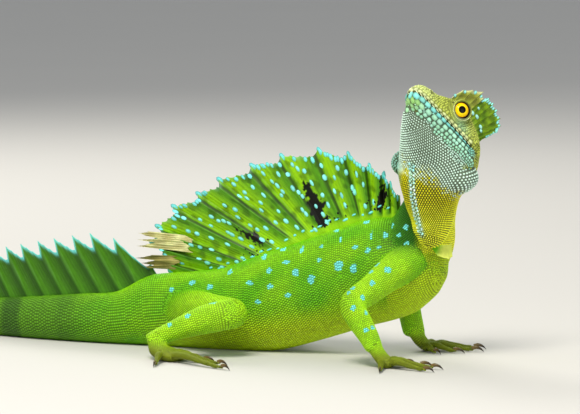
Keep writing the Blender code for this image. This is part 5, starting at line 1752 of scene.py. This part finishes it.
# %% Claws
claw_points, claw_faces, claw_colours = [], [], []
start = 0
for row in CLAWS:
    fine = smooth_rows(row, 22)
    fine[:, 3] = np.maximum(fine[:, 3], 0.05)
    fine[:, 2] = np.maximum(fine[:, 2], fine[:, 3] + 0.03)
    tube = Tube("claw", fine[:, :3], fine[:, 3] * 0.72, fine[:, 3], fine[:, 3], UP)
    points, faces = loft_arrays(tube.rings(12))
    share = np.linspace(0, 1, 22)
    tones = mix(np.tile(srgb(112, 92, 48), (22, 1)), srgb(36, 26, 16), ramp(share, 0.1, 0.8))
    claw_colours.append(np.vstack([np.repeat(tones, 12, axis=0), tones[:1], tones[-1:]]))
    claw_points.append(points)
    claw_faces.append(faces + start)
    start += len(points)
claws = mesh_from_arrays("claws", np.vstack(claw_points), np.vstack(claw_faces))
set_colours(claws, np.vstack(claw_colours))
claws.data.materials.append(painted_material("horn", gloss=(0.18, 0.35), bump=0.2, coat=0.3))
claws.data.shade_smooth()
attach(claws, "root")
print("claws", len(CLAWS))

# %% [markdown]
# The model stands on a plain pale floor in soft studio light.
# A large warm lamp in front gives the shadows, a weaker one fills them, and one behind draws the outline.

# %% Floor and light
WORLD_STRENGTH = 0.48
bpy.ops.mesh.primitive_plane_add(size=12.0, location=(0, 0, 0))
floor = bpy.context.object
floor.name = "floor"
floor_material = bpy.data.materials.new("pale_floor")
floor_material.use_nodes = True
tree = floor_material.node_tree
floor_tone = place_group(tree, drift, Scale=3.0, Amount=0.03)
floor_tone.inputs["Color"].default_value = (0.62, 0.6, 0.56, 1)
tree.links.new(floor_tone.outputs["Color"], tree.nodes["Principled BSDF"].inputs["Base Color"])
tree.nodes["Principled BSDF"].inputs["Roughness"].default_value = 0.8
floor.data.materials.append(floor_material)

world = bpy.data.worlds.new("studio")
bpy.context.scene.world = world
world.use_nodes = True
world.node_tree.nodes["Background"].inputs["Color"].default_value = (0.86, 0.9, 0.95, 1)
world.node_tree.nodes["Background"].inputs["Strength"].default_value = WORLD_STRENGTH


def area_light(name, place, aim, size, power, tone):
    light = bpy.data.lights.new(name, "AREA")
    light.size = size
    light.energy = power
    light.color = tone
    lamp = bpy.data.objects.new(name, light)
    bpy.context.scene.collection.objects.link(lamp)
    lamp.location = place
    lamp.rotation_euler = (Vector(aim) - Vector(place)).to_track_quat("-Z", "Y").to_euler()
    return lamp


key = area_light("key_light", (0.1, -1.0, 1.5), (0.03, 0, 0.06), 0.7, 30, (1.0, 0.97, 0.9))
fill = area_light("fill_light", (1.4, -0.9, 0.5), (0.05, 0, 0.06), 1.0, 7, (0.92, 0.97, 1.0))
rim = area_light("rim_light", (-0.9, 1.0, 1.1), (0.03, 0, 0.06), 0.8, 14, (1.0, 0.98, 0.92))
print("lights", [lamp.name for lamp in (key, fill, rim)])

# %% [markdown]
# The camera looks at the animal's right side, from 20 degrees ahead of square and 5 degrees above level.
# A long lens from 2.1 m keeps near and far parts in true proportion.

# %% Camera
CAMERA_AZIMUTH = math.radians(20)
CAMERA_ELEVATION = math.radians(5)
CAMERA_DISTANCE = 2.1
CAMERA_LENS = 254.2
SENSOR_WIDTH = 36.0
CAMERA_TARGET = Vector((0.030, 0.0, 0.0743))
toward = Vector((math.sin(CAMERA_AZIMUTH) * math.cos(CAMERA_ELEVATION),
                 -math.cos(CAMERA_AZIMUTH) * math.cos(CAMERA_ELEVATION), math.sin(CAMERA_ELEVATION)))
camera_data = bpy.data.cameras.new("camera")
camera_data.sensor_width = SENSOR_WIDTH
camera_data.lens = CAMERA_LENS
camera = bpy.data.objects.new("camera", camera_data)
bpy.context.scene.collection.objects.link(camera)
camera.location = CAMERA_TARGET + toward * CAMERA_DISTANCE
camera.rotation_euler = (-toward).to_track_quat("-Z", "Y").to_euler()
bpy.context.scene.camera = camera
print("camera height in mm", round(camera.location.z / MM))
